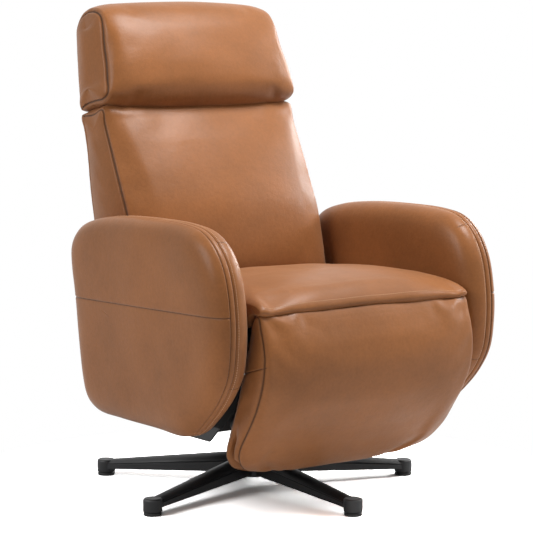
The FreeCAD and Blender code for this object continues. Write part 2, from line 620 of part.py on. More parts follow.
def build_footrest():
    leaves = math.radians(BEAD_LEAVES_AT)
    inside = BEAD_R - 0.4
    first = (FOOT_PIVOT[0] - inside * math.cos(leaves), FOOT_PIVOT[1] - inside * math.sin(leaves))
    curve_points = [first] + FOOT_FRONT
    rest = [FOOT_BOTTOM, board_point(BOARD_LENGTH + 4.0, 0.0), BOARD_TOP]
    rest.append((FOOT_PIVOT[0] + 16.0, FOOT_PIVOT[1] - 12.0))
    pad = curved_slab(curve_points, rest, -FOOT_HALF_WIDTH, FOOT_HALF_WIDTH)
    pad = pad.fuse(cross_cylinder(BEAD_R, -FOOT_HALF_WIDTH, FOOT_HALF_WIDTH, FOOT_PIVOT))
    slab = box(-FOOT_HALF_WIDTH, FOOT_HALF_WIDTH, -480.0, -180.0, FOOT_BOTTOM[1] - 6.0, 480.0)
    low = slab.BoundBox.ZMin + 1.0
    corners = [e for e in slab.Edges if e.BoundBox.ZMax < low and e.BoundBox.XLength < 1.0]
    pad = pad.common(slab.makeFillet(FOOT_LOWER_CORNER_R, corners))
    y, z = FOOT_PIVOT
    slot_y = y - LEVER_TOP_R - LEVER_SLOT_GAP
    slot = [
        (slot_y, z + 35.0), (slot_y, z - 13.0), (y + 18.0, z - 75.0), (y + 44.0, z - 135.0),
        (y + 100.0, z - 135.0), (y + 100.0, z + 35.0)]
    slot = plate_x(slot, LEVER_IN - PIN_HEAD - 1.0, SIDE_PLATE_IN + SIDE_PLATE + PIN_HEAD + 1.0)
    pad = pad.cut(pair(slot))
    half = BOARD_HALF_WIDTH
    ends = [board_point(0.0, 0.0), board_point(BOARD_LENGTH, 0.0)]
    ends += [board_point(BOARD_LENGTH, BOARD), board_point(0.0, BOARD)]
    board = plate_x(ends, -half, half)
    low = board_point(BOARD_LENGTH, BOARD)[1] + 1.0
    corners = [e for e in board.Edges if e.BoundBox.ZMax < low + 6.0 and e.BoundBox.XLength < 1.0]
    board = board.makeFillet(FOOT_LOWER_CORNER_R - 20.0, corners)
    back = BOARD + LEVER_FLANGE
    flange = [board_point(LEVER_FLANGE_FROM, BOARD), board_point(LEVER_FLANGE_TO, BOARD)]
    flange += [board_point(LEVER_FLANGE_TO, back), board_point(LEVER_FLANGE_FROM, back)]
    flange = plate_x(flange, LEVER_IN - LEVER_FLANGE_WIDTH, LEVER_IN)
    lever = link_plate(FOOT_PIVOT, LEVER_END, LEVER_TOP_R, LEVER_END_R, LEVER_IN, LEVER_IN + HINGE_PLATE)
    lever = lever.fuse(flange)
    lever = lever.cut(cross_cylinder(FOOT_PIN_R + RUNNING_GAP, LEVER_IN - 1.0, SIDE_PLATE_IN, FOOT_PIVOT))
    screws = []
    for down in (LEVER_FLANGE_FROM + 16.0, LEVER_FLANGE_TO - 16.0):
        x = LEVER_IN - LEVER_FLANGE_WIDTH / 2 - 4.0
        shank = board_screw(x, down, SCREW_R, 0.0, back)
        head = board_screw(x, down, SCREW_HEAD_R, back, back + SCREW_HEAD)
        lever = lever.cut(shank)
        board = board.cut(pair(shank))
        screws.append(shank.fuse(head))
    save("footrest_screws", Part.makeCompound(screws + [mirrored(s) for s in screws]))
    both_sides("footrest_lever", lever)
    save("footrest_board", board)
    save("footrest_cushion", pad)


def above_crease(up):
    far = 400.0
    corners = [crease(-far, up), crease(far, up), crease(far, up + far), crease(-far, up + far)]
    return plate_x(corners, -far, far)


def build_back():
    rail_from = LEAF_LENGTH - SMALL_TUBE
    rail_up = -KNUCKLE_R
    lower = square_tube_x(SMALL_TUBE, TUBE_WALL, -LEVER_IN, LEVER_IN, FRAME_FOOT[0], FRAME_FOOT[1])
    save("back_lower_rail", lower)
    sections = []
    for wall in (0.0, TUBE_WALL):
        a = rail_from + wall
        b = LEAF_LENGTH - wall
        low = rail_up - SMALL_TUBE + wall
        high = rail_up - wall
        points = [crease(a, low), crease(b, low), crease(b, high), crease(a, high)]
        sections.append(plate_x(points, -UPRIGHT_X - UPRIGHT_R, UPRIGHT_X + UPRIGHT_R))
    save("back_top_rail", sections[0].cut(sections[1]))
    tilt = math.radians(FRAME_TILT)
    start = Vector(UPRIGHT_X, FRAME_FOOT[0], FRAME_FOOT[1])
    direction = Vector(0, math.sin(tilt), math.cos(tilt))
    tube = Part.makeCylinder(UPRIGHT_R, BACK_LENGTH, start, direction)
    tube = tube.cut(Part.makeCylinder(UPRIGHT_R - UPRIGHT_WALL, BACK_LENGTH, start, direction))
    tube = tube.cut(above_crease(rail_up - SMALL_TUBE))
    rail_top = FRAME_FOOT[1] + SMALL_TUBE / 2
    tube = tube.cut(box(0, 400.0, 0, 400.0, 300.0, rail_top))
    both_sides("back_upright", tube)
    hinge = link_plate(BACK_PIVOT, FRAME_FOOT, HINGE_LOW_R, HINGE_HIGH_R, LEVER_IN, LEVER_IN + HINGE_PLATE)
    hinge = hinge.cut(cross_cylinder(BACK_PIN_R + RUNNING_GAP, LEVER_IN, SIDE_PLATE_IN, BACK_PIVOT))
    both_sides("back_hinge", hinge)
    straps = []
    front = -UPRIGHT_R - WEBBING
    for k in range(BACK_WEB_COUNT):
        low = BACK_WEB_FIRST_Z - FRAME_FOOT[1] + k * BACK_WEB_PITCH
        high = low + WEBBING_WIDTH * 0.6
        points = [
            along(FRAME_FOOT, FRAME_TILT, low, front), along(FRAME_FOOT, FRAME_TILT, low, -UPRIGHT_R),
            along(FRAME_FOOT, FRAME_TILT, high, -UPRIGHT_R), along(FRAME_FOOT, FRAME_TILT, high, front)]
        straps.append(plate_x(points, -UPRIGHT_X - UPRIGHT_R, UPRIGHT_X + UPRIGHT_R))
    save("back_webbing", Part.makeCompound(straps))
    rest = [
        crease(-14.0, -13.0), crease(0.0, -CREASE_HALF), crease(rail_from - 4.0, -CREASE_HALF),
        along(FRAME_FOOT, FRAME_TILT, 380.0, front), along(FRAME_FOOT, FRAME_TILT, HINGE_HIGH_R + 4.0, front),
        (BACK_PIVOT[0] - 25.0, BACK_BOTTOM_Z), (BACK_FRONT[0][0], BACK_BOTTOM_Z)]
    cushion = curved_slab(BACK_FRONT, rest, -BACK_HALF_WIDTH, BACK_HALF_WIDTH)
    save("back_cushion", cushion)
    build_back_shell(front)
    build_spring_arm(lower)


def build_back_shell(front):
    low = SHELL_BOTTOM_Z - FRAME_FOOT[1]
    outer_off = PANEL_FRONT + PANEL
    high = BACK_LENGTH
    outline = [(low, front), (low, outer_off), (high, outer_off), (high, front)]
    hollow = [(low - 5.0, front - 5.0), (low - 5.0, PANEL_FRONT), (high, PANEL_FRONT), (high, front - 5.0)]
    outline = [along(FRAME_FOOT, FRAME_TILT, d, o) for d, o in outline]
    hollow = [along(FRAME_FOOT, FRAME_TILT, d, o) for d, o in hollow]
    inner_half = BACK_HALF_WIDTH - SHELL_WALL
    outer = plate_x(outline, -BACK_HALF_WIDTH, BACK_HALF_WIDTH)
    inner = plate_x(hollow, -inner_half, inner_half)
    save("back_shell", outer.cut(inner).cut(above_crease(-CREASE_HALF)))


def build_spring_arm(lower_rail):
    reach = CLEVIS_GAP + CLEVIS_PLATE
    ear = link_plate(SPRING_REAR, FRAME_FOOT, CLEVIS_R, 9.0, CLEVIS_GAP, reach)
    half = SMALL_TUBE / 2
    y, z = FRAME_FOOT
    ear = ear.cut(box(-40.0, 40.0, y - half, y + half, z - half, z + half + 4.0))
    pin = cross_cylinder(SPRING_PIN_R, -reach - PIN_HEAD, reach + PIN_HEAD, SPRING_REAR)
    save("recline_arm", pair(ear.cut(pin)))
    save("spring_pin_rear", pin)


def spring_cylinder_piece(radius, start, end):
    dy = SPRING_REAR[0] - SPRING_FRONT[0]
    dz = SPRING_REAR[1] - SPRING_FRONT[1]
    length = math.hypot(dy, dz)
    base = Vector(0, SPRING_FRONT[0] + start * dy / length, SPRING_FRONT[1] + start * dz / length)
    return Part.makeCylinder(radius, end - start, base, Vector(0, dy, dz))


def build_gas_spring():
    length = math.dist(SPRING_FRONT, SPRING_REAR)
    tube = spring_cylinder_piece(CYLINDER_R, CYLINDER_FROM, CYLINDER_TO)
    neck = spring_cylinder_piece(CYLINDER_BORE_R - 3.0, 0.0, CYLINDER_FROM + 1.0)
    eye = cross_cylinder(SPRING_EYE_R, -SPRING_EYE_HALF, SPRING_EYE_HALF, SPRING_FRONT)
    body = tube.multiFuse([neck, eye])
    body = body.cut(cross_cylinder(SPRING_PIN_R + RUNNING_GAP, -20.0, 20.0, SPRING_FRONT))
    body = body.cut(spring_cylinder_piece(CYLINDER_BORE_R, CYLINDER_FROM + 5.0, CYLINDER_TO - 6.0))
    body = body.cut(spring_cylinder_piece(ROD_R + RUNNING_GAP, CYLINDER_FROM + 6.0, CYLINDER_TO + 1.0))
    save("spring_cylinder", body)
    rod = spring_cylinder_piece(ROD_R, ROD_FROM, length)
    piston = spring_cylinder_piece(CYLINDER_BORE_R - RUNNING_GAP, ROD_FROM, ROD_FROM + 8.0)
    eye = cross_cylinder(SPRING_OPEN_EYE_R + 4.5, -SPRING_EYE_HALF, SPRING_EYE_HALF, SPRING_REAR)
    rod = rod.multiFuse([piston, eye])
    save("spring_rod", rod.cut(cross_cylinder(SPRING_OPEN_EYE_R, -20.0, 20.0, SPRING_REAR)))


def leaf_outline(length, up_a, up_b):
    return [crease(0.0, up_a), crease(length, up_a), crease(length, up_b), crease(0.0, up_b)]


def build_headrest():
    half = LEAF_WIDTH / 2
    x0 = LEAF_X - half
    x1 = LEAF_X + half
    third = LEAF_WIDTH / 4
    high_end = LEAF_LENGTH - 4.0
    low = plate_x(leaf_outline(LEAF_LENGTH, -KNUCKLE_R, -KNUCKLE_R + LEAF), x0, x1)
    high = plate_x(leaf_outline(high_end, KNUCKLE_R, KNUCKLE_R - LEAF), x0, x1)
    clear = KNUCKLE_R + SLIDE_GAP
    middle = (x0 + third, x1 - third)
    low = low.cut(cross_cylinder(clear, middle[0] - SLIDE_GAP, middle[1] + SLIDE_GAP, HEAD_PIVOT))
    knuckles = []
    for a, b in ((x0, middle[0] - SLIDE_GAP), (middle[1] + SLIDE_GAP, x1)):
        knuckles.append(cross_cylinder(KNUCKLE_R, a, b, HEAD_PIVOT))
        high = high.cut(cross_cylinder(clear, a, b + SLIDE_GAP, HEAD_PIVOT))
        high = high.cut(cross_cylinder(clear, a - SLIDE_GAP, b, HEAD_PIVOT))
    low = low.multiFuse(knuckles)
    high = high.fuse(cross_cylinder(KNUCKLE_R, middle[0], middle[1], HEAD_PIVOT))
    pin = cross_cylinder(HEAD_PIN_R, x0, x1, HEAD_PIVOT)
    low = low.cut(pin)
    high = high.cut(cross_cylinder(HEAD_PIN_R + RUNNING_GAP, x0, x1, HEAD_PIVOT))
    save("headrest_hinge_lower", pair(low))
    save("headrest_hinge_upper", pair(high))
    save("headrest_pins", pair(pin))
    base_from = high_end - HEAD_PLATE
    tilt = math.radians(HEAD_PLATE_TILT)
    foot = [crease(base_from, KNUCKLE_R), crease(high_end, KNUCKLE_R)]
    rise = [(y + HEAD_PLATE_HEIGHT * math.sin(tilt), z + HEAD_PLATE_HEIGHT * math.cos(tilt)) for y, z in foot]
    plate = plate_x(foot + rise[::-1], -HEAD_PLATE_HALF_WIDTH, HEAD_PLATE_HALF_WIDTH)
    save("headrest_plate", plate)
    cushion = curved_slab(HEAD_OUTLINE, [], -HEAD_HALF_WIDTH, HEAD_HALF_WIDTH)
    save("headrest_cushion", cushion.cut(plate))


os.makedirs("parts", exist_ok=True)
build_base()
build_frame(build_column())
build_seat_cushion()
build_arms()
build_footrest()
build_back()
build_gas_spring()
build_headrest()
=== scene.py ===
import json
import math

import bmesh
import bpy
import numpy as np
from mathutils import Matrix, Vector, noise


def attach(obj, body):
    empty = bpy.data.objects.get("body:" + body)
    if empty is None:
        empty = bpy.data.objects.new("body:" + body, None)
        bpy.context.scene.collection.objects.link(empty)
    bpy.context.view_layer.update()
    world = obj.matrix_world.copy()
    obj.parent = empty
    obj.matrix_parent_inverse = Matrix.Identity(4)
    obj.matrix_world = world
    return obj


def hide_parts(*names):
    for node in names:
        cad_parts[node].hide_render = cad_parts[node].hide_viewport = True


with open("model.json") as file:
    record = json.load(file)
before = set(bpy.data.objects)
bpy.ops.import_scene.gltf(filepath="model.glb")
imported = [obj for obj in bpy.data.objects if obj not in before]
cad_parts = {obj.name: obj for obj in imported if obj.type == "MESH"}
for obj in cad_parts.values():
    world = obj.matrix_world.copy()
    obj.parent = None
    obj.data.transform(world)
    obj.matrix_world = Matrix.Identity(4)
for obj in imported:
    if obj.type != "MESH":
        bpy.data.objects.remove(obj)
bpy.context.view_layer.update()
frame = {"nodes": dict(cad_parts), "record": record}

# The swivel recliner. Outlines are given in millimetres as (Y, Z) about the swivel axis, as in the
# part's source, and stand SWIVEL_BACK behind the origin. All other lengths are in metres.
SWIVEL_BACK = 0.028
MM = 0.001

# Camera, worked out from the feet, seams and silhouettes of the photograph
CAMERA_AT = (-2.559, -3.566, 0.985)
CAMERA_TARGET = (0.0219, 0.0122, 0.482)
CAMERA_LENS = 138.5

# Body names
CHASSIS = "chassis"
BACKREST = "backrest"
HEADREST = "headrest"
FOOTREST = "footrest"


def yz(points):
    """An outline in metres from its points in millimetres about the swivel axis."""
    return np.array([(y * MM + SWIVEL_BACK, z * MM) for y, z in points])


def spot(y, z):
    """One place in metres from its Y and Z in millimetres about the swivel axis."""
    return yz([(y, z)])[0]


# Points between two given points of an outline, before it is resampled
CURVE_STEPS = 24


def closed_curve(points, count):
    """A smooth closed curve through the points, resampled to even steps."""
    points = np.asarray(points, float)
    n = len(points)
    dense = []
    for k in range(n):
        p0, p1, p2, p3 = (points[(k + j - 1) % n] for j in range(4))
        d01 = max(np.linalg.norm(p1 - p0), 1e-9) ** 0.5
        d12 = max(np.linalg.norm(p2 - p1), 1e-9) ** 0.5
        d23 = max(np.linalg.norm(p3 - p2), 1e-9) ** 0.5
        m1 = (p2 - p1) + d12 * ((p1 - p0) / d01 - (p2 - p0) / (d01 + d12))
        m2 = (p2 - p1) + d12 * ((p3 - p2) / d23 - (p3 - p1) / (d12 + d23))
        for s in range(CURVE_STEPS):
            t = s / CURVE_STEPS
            h00 = 2 * t ** 3 - 3 * t ** 2 + 1
            h10 = t ** 3 - 2 * t ** 2 + t
            h01 = -2 * t ** 3 + 3 * t ** 2
            h11 = t ** 3 - t ** 2
            dense.append(h00 * p1 + h10 * m1 + h01 * p2 + h11 * m2)
    dense = np.array(dense)
    loop = np.vstack([dense, dense[:1]])
    lengths = np.r_[0.0, np.cumsum(np.linalg.norm(np.diff(loop, axis=0), axis=1))]
    at = np.linspace(0.0, lengths[-1], count, endpoint=False)
    return np.column_stack([np.interp(at, lengths, loop[:, k]) for k in range(loop.shape[1])])


def outward(curve):
    """Unit normals of a closed curve in the plane, pointing away from its inside."""
    tangent = np.roll(curve, -1, axis=0) - np.roll(curve, 1, axis=0)
    normal = np.column_stack([tangent[:, 1], -tangent[:, 0]])
    normal /= np.linalg.norm(normal, axis=1)[:, None]
    area = np.sum(curve[:, 0] * np.roll(curve[:, 1], -1) - np.roll(curve[:, 0], -1) * curve[:, 1])
    return normal if area > 0 else -normal


def nearest_on(points, a, b):
    """For each point, the nearest point of the line from a to b."""
    a = np.asarray(a, float)
    b = np.asarray(b, float)
    run = b - a
    t = np.clip(((points - a) @ run) / max(run @ run, 1e-12), 0.0, 1.0)
    return a + t[:, None] * run


def smooth_step(x):
    """0 below 0, 1 above 1, and a smooth rise between them."""
    x = np.clip(x, 0.0, 1.0)
    return x * x * (3.0 - 2.0 * x)


def before_line(curve, y, z, slope):
    """How far each point of an outline stands in front of a slanted line."""
    return y + (curve[:, 1] - z) * slope - curve[:, 0]


def belly(curve, low, tall, power, ends):
    """A rise over the height of an outline that is 1 at its middle and small at its ends."""
    height = np.clip((curve[:, 1] - low) / tall, 0.0, 1.0)
    return np.sin(math.pi * np.clip(height, ends, 1.0 - ends)) ** power


def zipped(first, count, start):
    """Faces that close the narrow slit in the middle of a side panel."""
    faces = []
    for k in range(count // 2):
        ring = []
        for step in (k, k + 1, -k - 1, -k):
            corner = first + (start + step) % count
            if corner not in ring:
                ring.append(corner)
        faces.append(tuple(ring))
    return faces


def grid_mesh(name, grid, zip_from=None):
    """A mesh from a grid of points, closed in its second direction, and at its ends from a column."""
    rows, count = grid.shape[:2]
    faces = []
    for r in range(rows - 1):
        for c in range(count):
            d = (c + 1) % count
            faces.append((r * count + c, r * count + d, (r + 1) * count + d, (r + 1) * count + c))
    if zip_from is not None:
        faces += zipped(0, count, zip_from) + zipped((rows - 1) * count, count, zip_from)
    mesh = bpy.data.meshes.new(name)
    mesh.from_pydata(grid.reshape(-1, 3).tolist(), [], faces)
    mesh.update()
    piece = bpy.data.objects.new(name, mesh)
    bpy.context.scene.collection.objects.link(piece)
    for polygon in mesh.polygons:
        polygon.use_smooth = True
    fix_normals(mesh)
    return piece


def fix_normals(mesh):
    """Turns all faces outwards."""
    work = bmesh.new()
    work.from_mesh(mesh)
    bmesh.ops.recalc_face_normals(work, faces=work.faces)
    work.to_mesh(mesh)
    work.free()


def coordinates(mesh):
    """The places of a mesh's vertices, one row each."""
    flat = np.empty(len(mesh.vertices) * 3)
    mesh.vertices.foreach_get("co", flat)
    return flat.reshape(-1, 3)


def set_coordinates(mesh, points):
    """Moves a mesh's vertices to new places."""
    mesh.vertices.foreach_set("co", np.asarray(points).ravel())
    mesh.update()


def vertex_normals(mesh):
    """The normals of a mesh's vertices, one row each."""
    flat = np.empty(len(mesh.vertices) * 3)
    mesh.vertex_normals.foreach_get("vector", flat)
    return flat.reshape(-1, 3)


def set_attribute(mesh, name, values):
    """Stores a number for each vertex, which a material can read by its name."""
    layer = mesh.attributes.new(name, "FLOAT", "POINT")
    layer.data.foreach_set("value", np.asarray(values, dtype=np.float32).ravel())


def evened(shift, spans):
    """Averages a grid of movements round the outline, so that only soft folds are left."""
    for span in spans:
        shift = sum(np.roll(shift, step, axis=1) for step in range(-span, span + 1)) / (2 * span + 1)
    return shift


# The cloth simulation that swells the covers: its length, its forces, how far a point may move, and
# over how many neighbours the folds are evened
PUFF_FRAMES = 12
PUFF_PRESSURE = 3.0
PUFF_STIFFNESS = 30.0
PUFF_SHEAR = 18.0
PUFF_BENDING = 6.0
PUFF_DAMPING = 8.0
PUFF_SHRINK = -0.008
PUFF_MOST = 0.007
PUFF_EVENED = (5, 3)
# How far from a seam the cover is still sewn down
SEWN_REACH = 0.006


def simulate(piece, hold):
    """Runs a cloth simulation on a cover and gives the places that its vertices move to."""
    group = piece.vertex_groups.new(name="hold")
    for index, weight in enumerate(hold):
        if weight > 0.001:
            group.add([index], float(weight), "REPLACE")
    cloth = piece.modifiers.new("cover", "CLOTH")
    settings = cloth.settings
    settings.quality = 4
    settings.mass = 0.4
    settings.tension_stiffness = PUFF_STIFFNESS
    settings.compression_stiffness = PUFF_STIFFNESS
    settings.shear_stiffness = PUFF_SHEAR
    settings.bending_stiffness = PUFF_BENDING
    settings.tension_damping = PUFF_DAMPING
    settings.compression_damping = PUFF_DAMPING
    settings.air_damping = 2.0
    settings.use_pressure = True
    settings.uniform_pressure_force = PUFF_PRESSURE
    settings.vertex_group_mass = "hold"
    settings.pin_stiffness = 1.0
    settings.shrink_min = PUFF_SHRINK
    settings.effector_weights.gravity = 0.0
    cloth.collision_settings.use_collision = False
    cloth.point_cache.frame_start = 1
    cloth.point_cache.frame_end = PUFF_FRAMES
    scene = bpy.context.scene
    for number in range(1, PUFF_FRAMES + 1):
        scene.frame_set(number)
    seen = piece.evaluated_get(bpy.context.evaluated_depsgraph_get())
    moved = coordinates(seen.data)
    piece.modifiers.remove(cloth)
    piece.vertex_groups.remove(group)
    scene.frame_set(1)
    return moved


def puff(piece, hold, shape):
    """Swells a leather cover. hold is 1 where it is sewn down and 0 where it is free."""
    start = coordinates(piece.data)
    moved = simulate(piece, hold)
    shift = evened((moved - start).reshape(*shape, 3), PUFF_EVENED).reshape(-1, 3)
    length = np.linalg.norm(shift, axis=1)
    factor = np.where(length > PUFF_MOST, PUFF_MOST / np.maximum(length, 1e-9), 1.0)
    free = 1.0 - np.asarray(hold)
    set_coordinates(piece.data, start + shift * (factor * free)[:, None])


def crinkle(points, normals, amount, size, seed):
    """Shallow waves over a surface, seeded by a number."""
    out = points.copy()
    for k, p in enumerate(points):
        place = Vector((p[0] / size, p[1] / size, p[2] / size + seed))
        out[k] += normals[k] * (noise.noise(place) * amount)
    return out


def groove(distance, width, depth):
    """How far a surface is drawn in at a distance from a seam."""
    return depth * np.exp(-(distance / width) ** 2)


# How dark the painted shade at the bottom of a seam is
SEAM_SHADE_STRENGTH = 0.9
# In widths of the seam: where the mesh is cut beside it, how far it draws the cover in, and how wide
# the painted shade at its bottom is
SEAM_CUTS = (-3.0, -1.8, -0.9, 0.0, 0.9, 1.8, 3.0)
SEAM_REACH = 4.0
SEAM_SHADE_WIDTH = 0.6


def cut_seam(piece, at, square_to, wanted, width, depth):
    """Cuts a sewn seam into the wanted faces along the plane through a point, draws it in, and paints
    shade in it.
    """
    work = bmesh.new()
    work.from_mesh(piece.data)
    layer = work.verts.layers.float.get("seam_shade") or work.verts.layers.float.new("seam_shade")
    square_to = Vector(square_to).normalized()
    for step in SEAM_CUTS:
        faces = [f for f in work.faces if wanted(f.calc_center_median())]
        edges = {e for f in faces for e in f.edges}
        verts = {v for f in faces for v in f.verts}
        plane = Vector(at) + square_to * (step * width)
        geometry = list(verts) + list(edges) + faces
        bmesh.ops.bisect_plane(work, geom=geometry, dist=1e-6, plane_co=plane, plane_no=square_to)
    work.normal_update()
    moves = []
    for vert in work.verts:
        distance = (vert.co - Vector(at)).dot(square_to)
        if abs(distance) < SEAM_REACH * width and wanted(vert.co):
            moves.append((vert, vert.normal * -groove(distance, width, depth)))
            # Painted shade at the bottom of the seam, handed to the material
            painted_shade = SEAM_SHADE_STRENGTH * math.exp(-(distance / (SEAM_SHADE_WIDTH * width)) ** 2)
            vert[layer] = max(vert[layer], painted_shade)
    for vert, move in moves:
        vert.co += move
    work.to_mesh(piece.data)
    work.free()


# A row of stitches: their pitch, the length of one, and the radius and the sides of the thread
STITCH_PITCH = 0.0052
STITCH_LENGTH = 0.0037
THREAD_R = 0.00055
THREAD_SIDES = 6
# The rings of one stitch: place along its length, share of the thread's radius, lift in radii
STITCH_RINGS = [
    (-0.5, 0.25, -0.6), (-0.36, 0.85, 0.1), (0.0, 1.0, 0.45), (0.36, 0.85, 0.1), (0.5, 0.25, -0.6)]


def along_line(at, lengths, values):
    """The values of a line, such as its places or normals, at a length along it."""
    return np.array([np.interp(at, lengths, values[:, k]) for k in range(3)])


def stitch_axes(at, lengths, line, normals):
    """The directions along, out of and across a line on a surface, at a length along it."""
    after = along_line(min(at + STITCH_LENGTH / 2, lengths[-1]), lengths, line)
    before = along_line(max(at - STITCH_LENGTH / 2, 0.0), lengths, line)
    ahead = after - before
    ahead /= max(np.linalg.norm(ahead), 1e-9)
    up = along_line(at, lengths, normals)
    up -= ahead * (up @ ahead)
    up /= max(np.linalg.norm(up), 1e-9)
    return ahead, up, np.cross(ahead, up)


def stitches(name, line, normals, body, closed=False):
    """A row of sewn stitches along a line on a surface, as one mesh of small rounded dashes."""
    if closed:
        line = np.vstack([line, line[:1]])
        normals = np.vstack([normals, normals[:1]])
    lengths = np.r_[0.0, np.cumsum(np.linalg.norm(np.diff(line, axis=0), axis=1))]
    count = max(int(lengths[-1] / STITCH_PITCH), 1)
    mesh = bpy.data.meshes.new(name)
    verts = []
    faces = []
    for at in (np.arange(count) + 0.5) * lengths[-1] / count:
        here = along_line(at, lengths, line)
        ahead, up, side = stitch_axes(at, lengths, line, normals)
        first = len(verts)
        for share, size, lift in STITCH_RINGS:
            centre = here + ahead * (share * STITCH_LENGTH) + up * (lift * THREAD_R)
            for k in range(THREAD_SIDES):
                turn = 2 * math.pi * k / THREAD_SIDES
                verts.append(centre + THREAD_R * size * (math.cos(turn) * side + math.sin(turn) * up))
        for ring in range(len(STITCH_RINGS) - 1):
            for k in range(THREAD_SIDES):
                a = first + ring * THREAD_SIDES + k
                b = first + ring * THREAD_SIDES + (k + 1) % THREAD_SIDES
                faces.append((a, b, b + THREAD_SIDES, a + THREAD_SIDES))
        last = first + (len(STITCH_RINGS) - 1) * THREAD_SIDES
        faces.append(tuple(first + k for k in range(THREAD_SIDES))[::-1])
        faces.append(tuple(last + k for k in range(THREAD_SIDES)))
    mesh.from_pydata([tuple(v) for v in verts], [], faces)
    for polygon in mesh.polygons:
        polygon.use_smooth = True
    piece = bpy.data.objects.new(name, mesh)
    bpy.context.scene.collection.objects.link(piece)
    piece.data.materials.append(thread_material)
    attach(piece, body)


# Materials

def new_material(name):
    """A material with its nodes, its links and its shader."""
    material = bpy.data.materials.new(name)
    material.use_nodes = True
    nodes = material.node_tree.nodes
    shader = nodes["Principled BSDF"]
    return material, nodes, material.node_tree.links, shader


def noise_node(nodes, links, coords, scale, detail=4.0, roughness=0.55):
    """Cloudy noise over the surface."""
    node = nodes.new("ShaderNodeTexNoise")
    node.inputs["Scale"].default_value = scale
    node.inputs["Detail"].default_value = detail
    node.inputs["Roughness"].default_value = roughness
    links.new(coords, node.inputs["Vector"])
    return node


def ramp_node(nodes, links, source, stops):
    """Turns a number into a colour, by stops of place and colour."""
    node = nodes.new("ShaderNodeValToRGB")
    ramp = node.color_ramp
    while len(ramp.elements) < len(stops):
        ramp.elements.new(0.5)
    for element, (position, colour) in zip(ramp.elements, stops):
        element.position = position
        element.color = colour
    links.new(source, node.inputs["Fac"])
    return node


def bump_node(nodes, links, height, strength, distance):
    """Turns a number into small unevenness of the surface."""
    node = nodes.new("ShaderNodeBump")
    node.inputs["Strength"].default_value = strength
    node.inputs["Distance"].default_value = distance
    links.new(height, node.inputs["Height"])
    return node


def mix_node(nodes, links, blend, under):
    """Lays a second colour over a first one."""
    node = nodes.new("ShaderNodeMix")
    node.data_type = "RGBA"
    node.blend_type = blend
    links.new(under, node.inputs["A"])
    return node


def grey(value):
    return (value, value, value, 1.0)


def toned(colour, share):
    """A colour made darker or lighter."""
    return tuple(min(c * share, 1.0) for c in colour) + (1.0,)


# The painted shade at the bottom of a seam is this share of the leather's colour
PAINTED_SEAM_SHADE = 0.16
LEATHER_FINISH = {
    "Specular IOR Level": 0.10, "Sheen Weight": 0.11, "Sheen Roughness": 0.55,
    "Sheen Tint": (1.0, 0.84, 0.70, 1.0), "Coat Weight": 0.13, "Coat Roughness": 0.27}


def leather_material(name, colour):
    """Semi-aniline leather: cloudy colour, a pebbled grain with fine pores, and a soft uneven sheen."""
    material, nodes, links, shader = new_material(name)
    coords = nodes.new("ShaderNodeTexCoord").outputs["Object"]
    cloud = noise_node(nodes, links, coords, 5.5, 5.0, 0.6)
    stops = [(0.30, toned(colour, 0.80)), (0.72, toned(colour, 1.10))]
    tone = ramp_node(nodes, links, cloud.outputs["Fac"], stops)
    speck = noise_node(nodes, links, coords, 160.0, 3.0, 0.6)
    speckle = ramp_node(nodes, links, speck.outputs["Fac"], [(0.30, grey(0.86)), (0.62, grey(1.0))])
    mixed = mix_node(nodes, links, "MULTIPLY", tone.outputs["Color"])
    mixed.inputs["Factor"].default_value = 0.7
    links.new(speckle.outputs["Color"], mixed.inputs["B"])
    # Painted shade at the bottom of the seams, read from the seam_shade attribute, darkens the colour
    seam_shade = nodes.new("ShaderNodeAttribute")
    seam_shade.attribute_name = "seam_shade"
    shade = mix_node(nodes, links, "MIX", mixed.outputs["Result"])
    shade.inputs["B"].default_value = toned(colour, PAINTED_SEAM_SHADE)
    links.new(seam_shade.outputs["Fac"], shade.inputs["Factor"])
    links.new(shade.outputs["Result"], shader.inputs["Base Color"])
    rough = ramp_node(nodes, links, cloud.outputs["Fac"], [(0.25, grey(0.44)), (0.75, grey(0.36))])
    links.new(rough.outputs["Color"], shader.inputs["Roughness"])
    pebble = nodes.new("ShaderNodeTexVoronoi")
    pebble.feature = "SMOOTH_F1"
    pebble.inputs["Scale"].default_value = 520.0
    pebble.inputs["Smoothness"].default_value = 0.6
    links.new(coords, pebble.inputs["Vector"])
    pores = noise_node(nodes, links, coords, 900.0, 2.0, 0.5)
    creases = noise_node(nodes, links, coords, 70.0, 4.0, 0.6)
    total = nodes.new("ShaderNodeMath")
    total.operation = "MULTIPLY_ADD"
    total.inputs[1].default_value = 0.8
    links.new(pebble.outputs["Distance"], total.inputs[0])
    links.new(pores.outputs["Fac"], total.inputs[2])
    fine = bump_node(nodes, links, total.outputs["Value"], 0.22, 0.0006)
    wide = bump_node(nodes, links, creases.outputs["Fac"], 0.18, 0.003)
    links.new(fine.outputs["Normal"], wide.inputs["Normal"])
    links.new(wide.outputs["Normal"], shader.inputs["Normal"])
    for channel, value in LEATHER_FINISH.items():
        shader.inputs[channel].default_value = value
    return material


# How far a plain surface's colour and its gloss vary, as shares
TONE_SPREAD = 0.12
GLOSS_SPREAD = 0.1


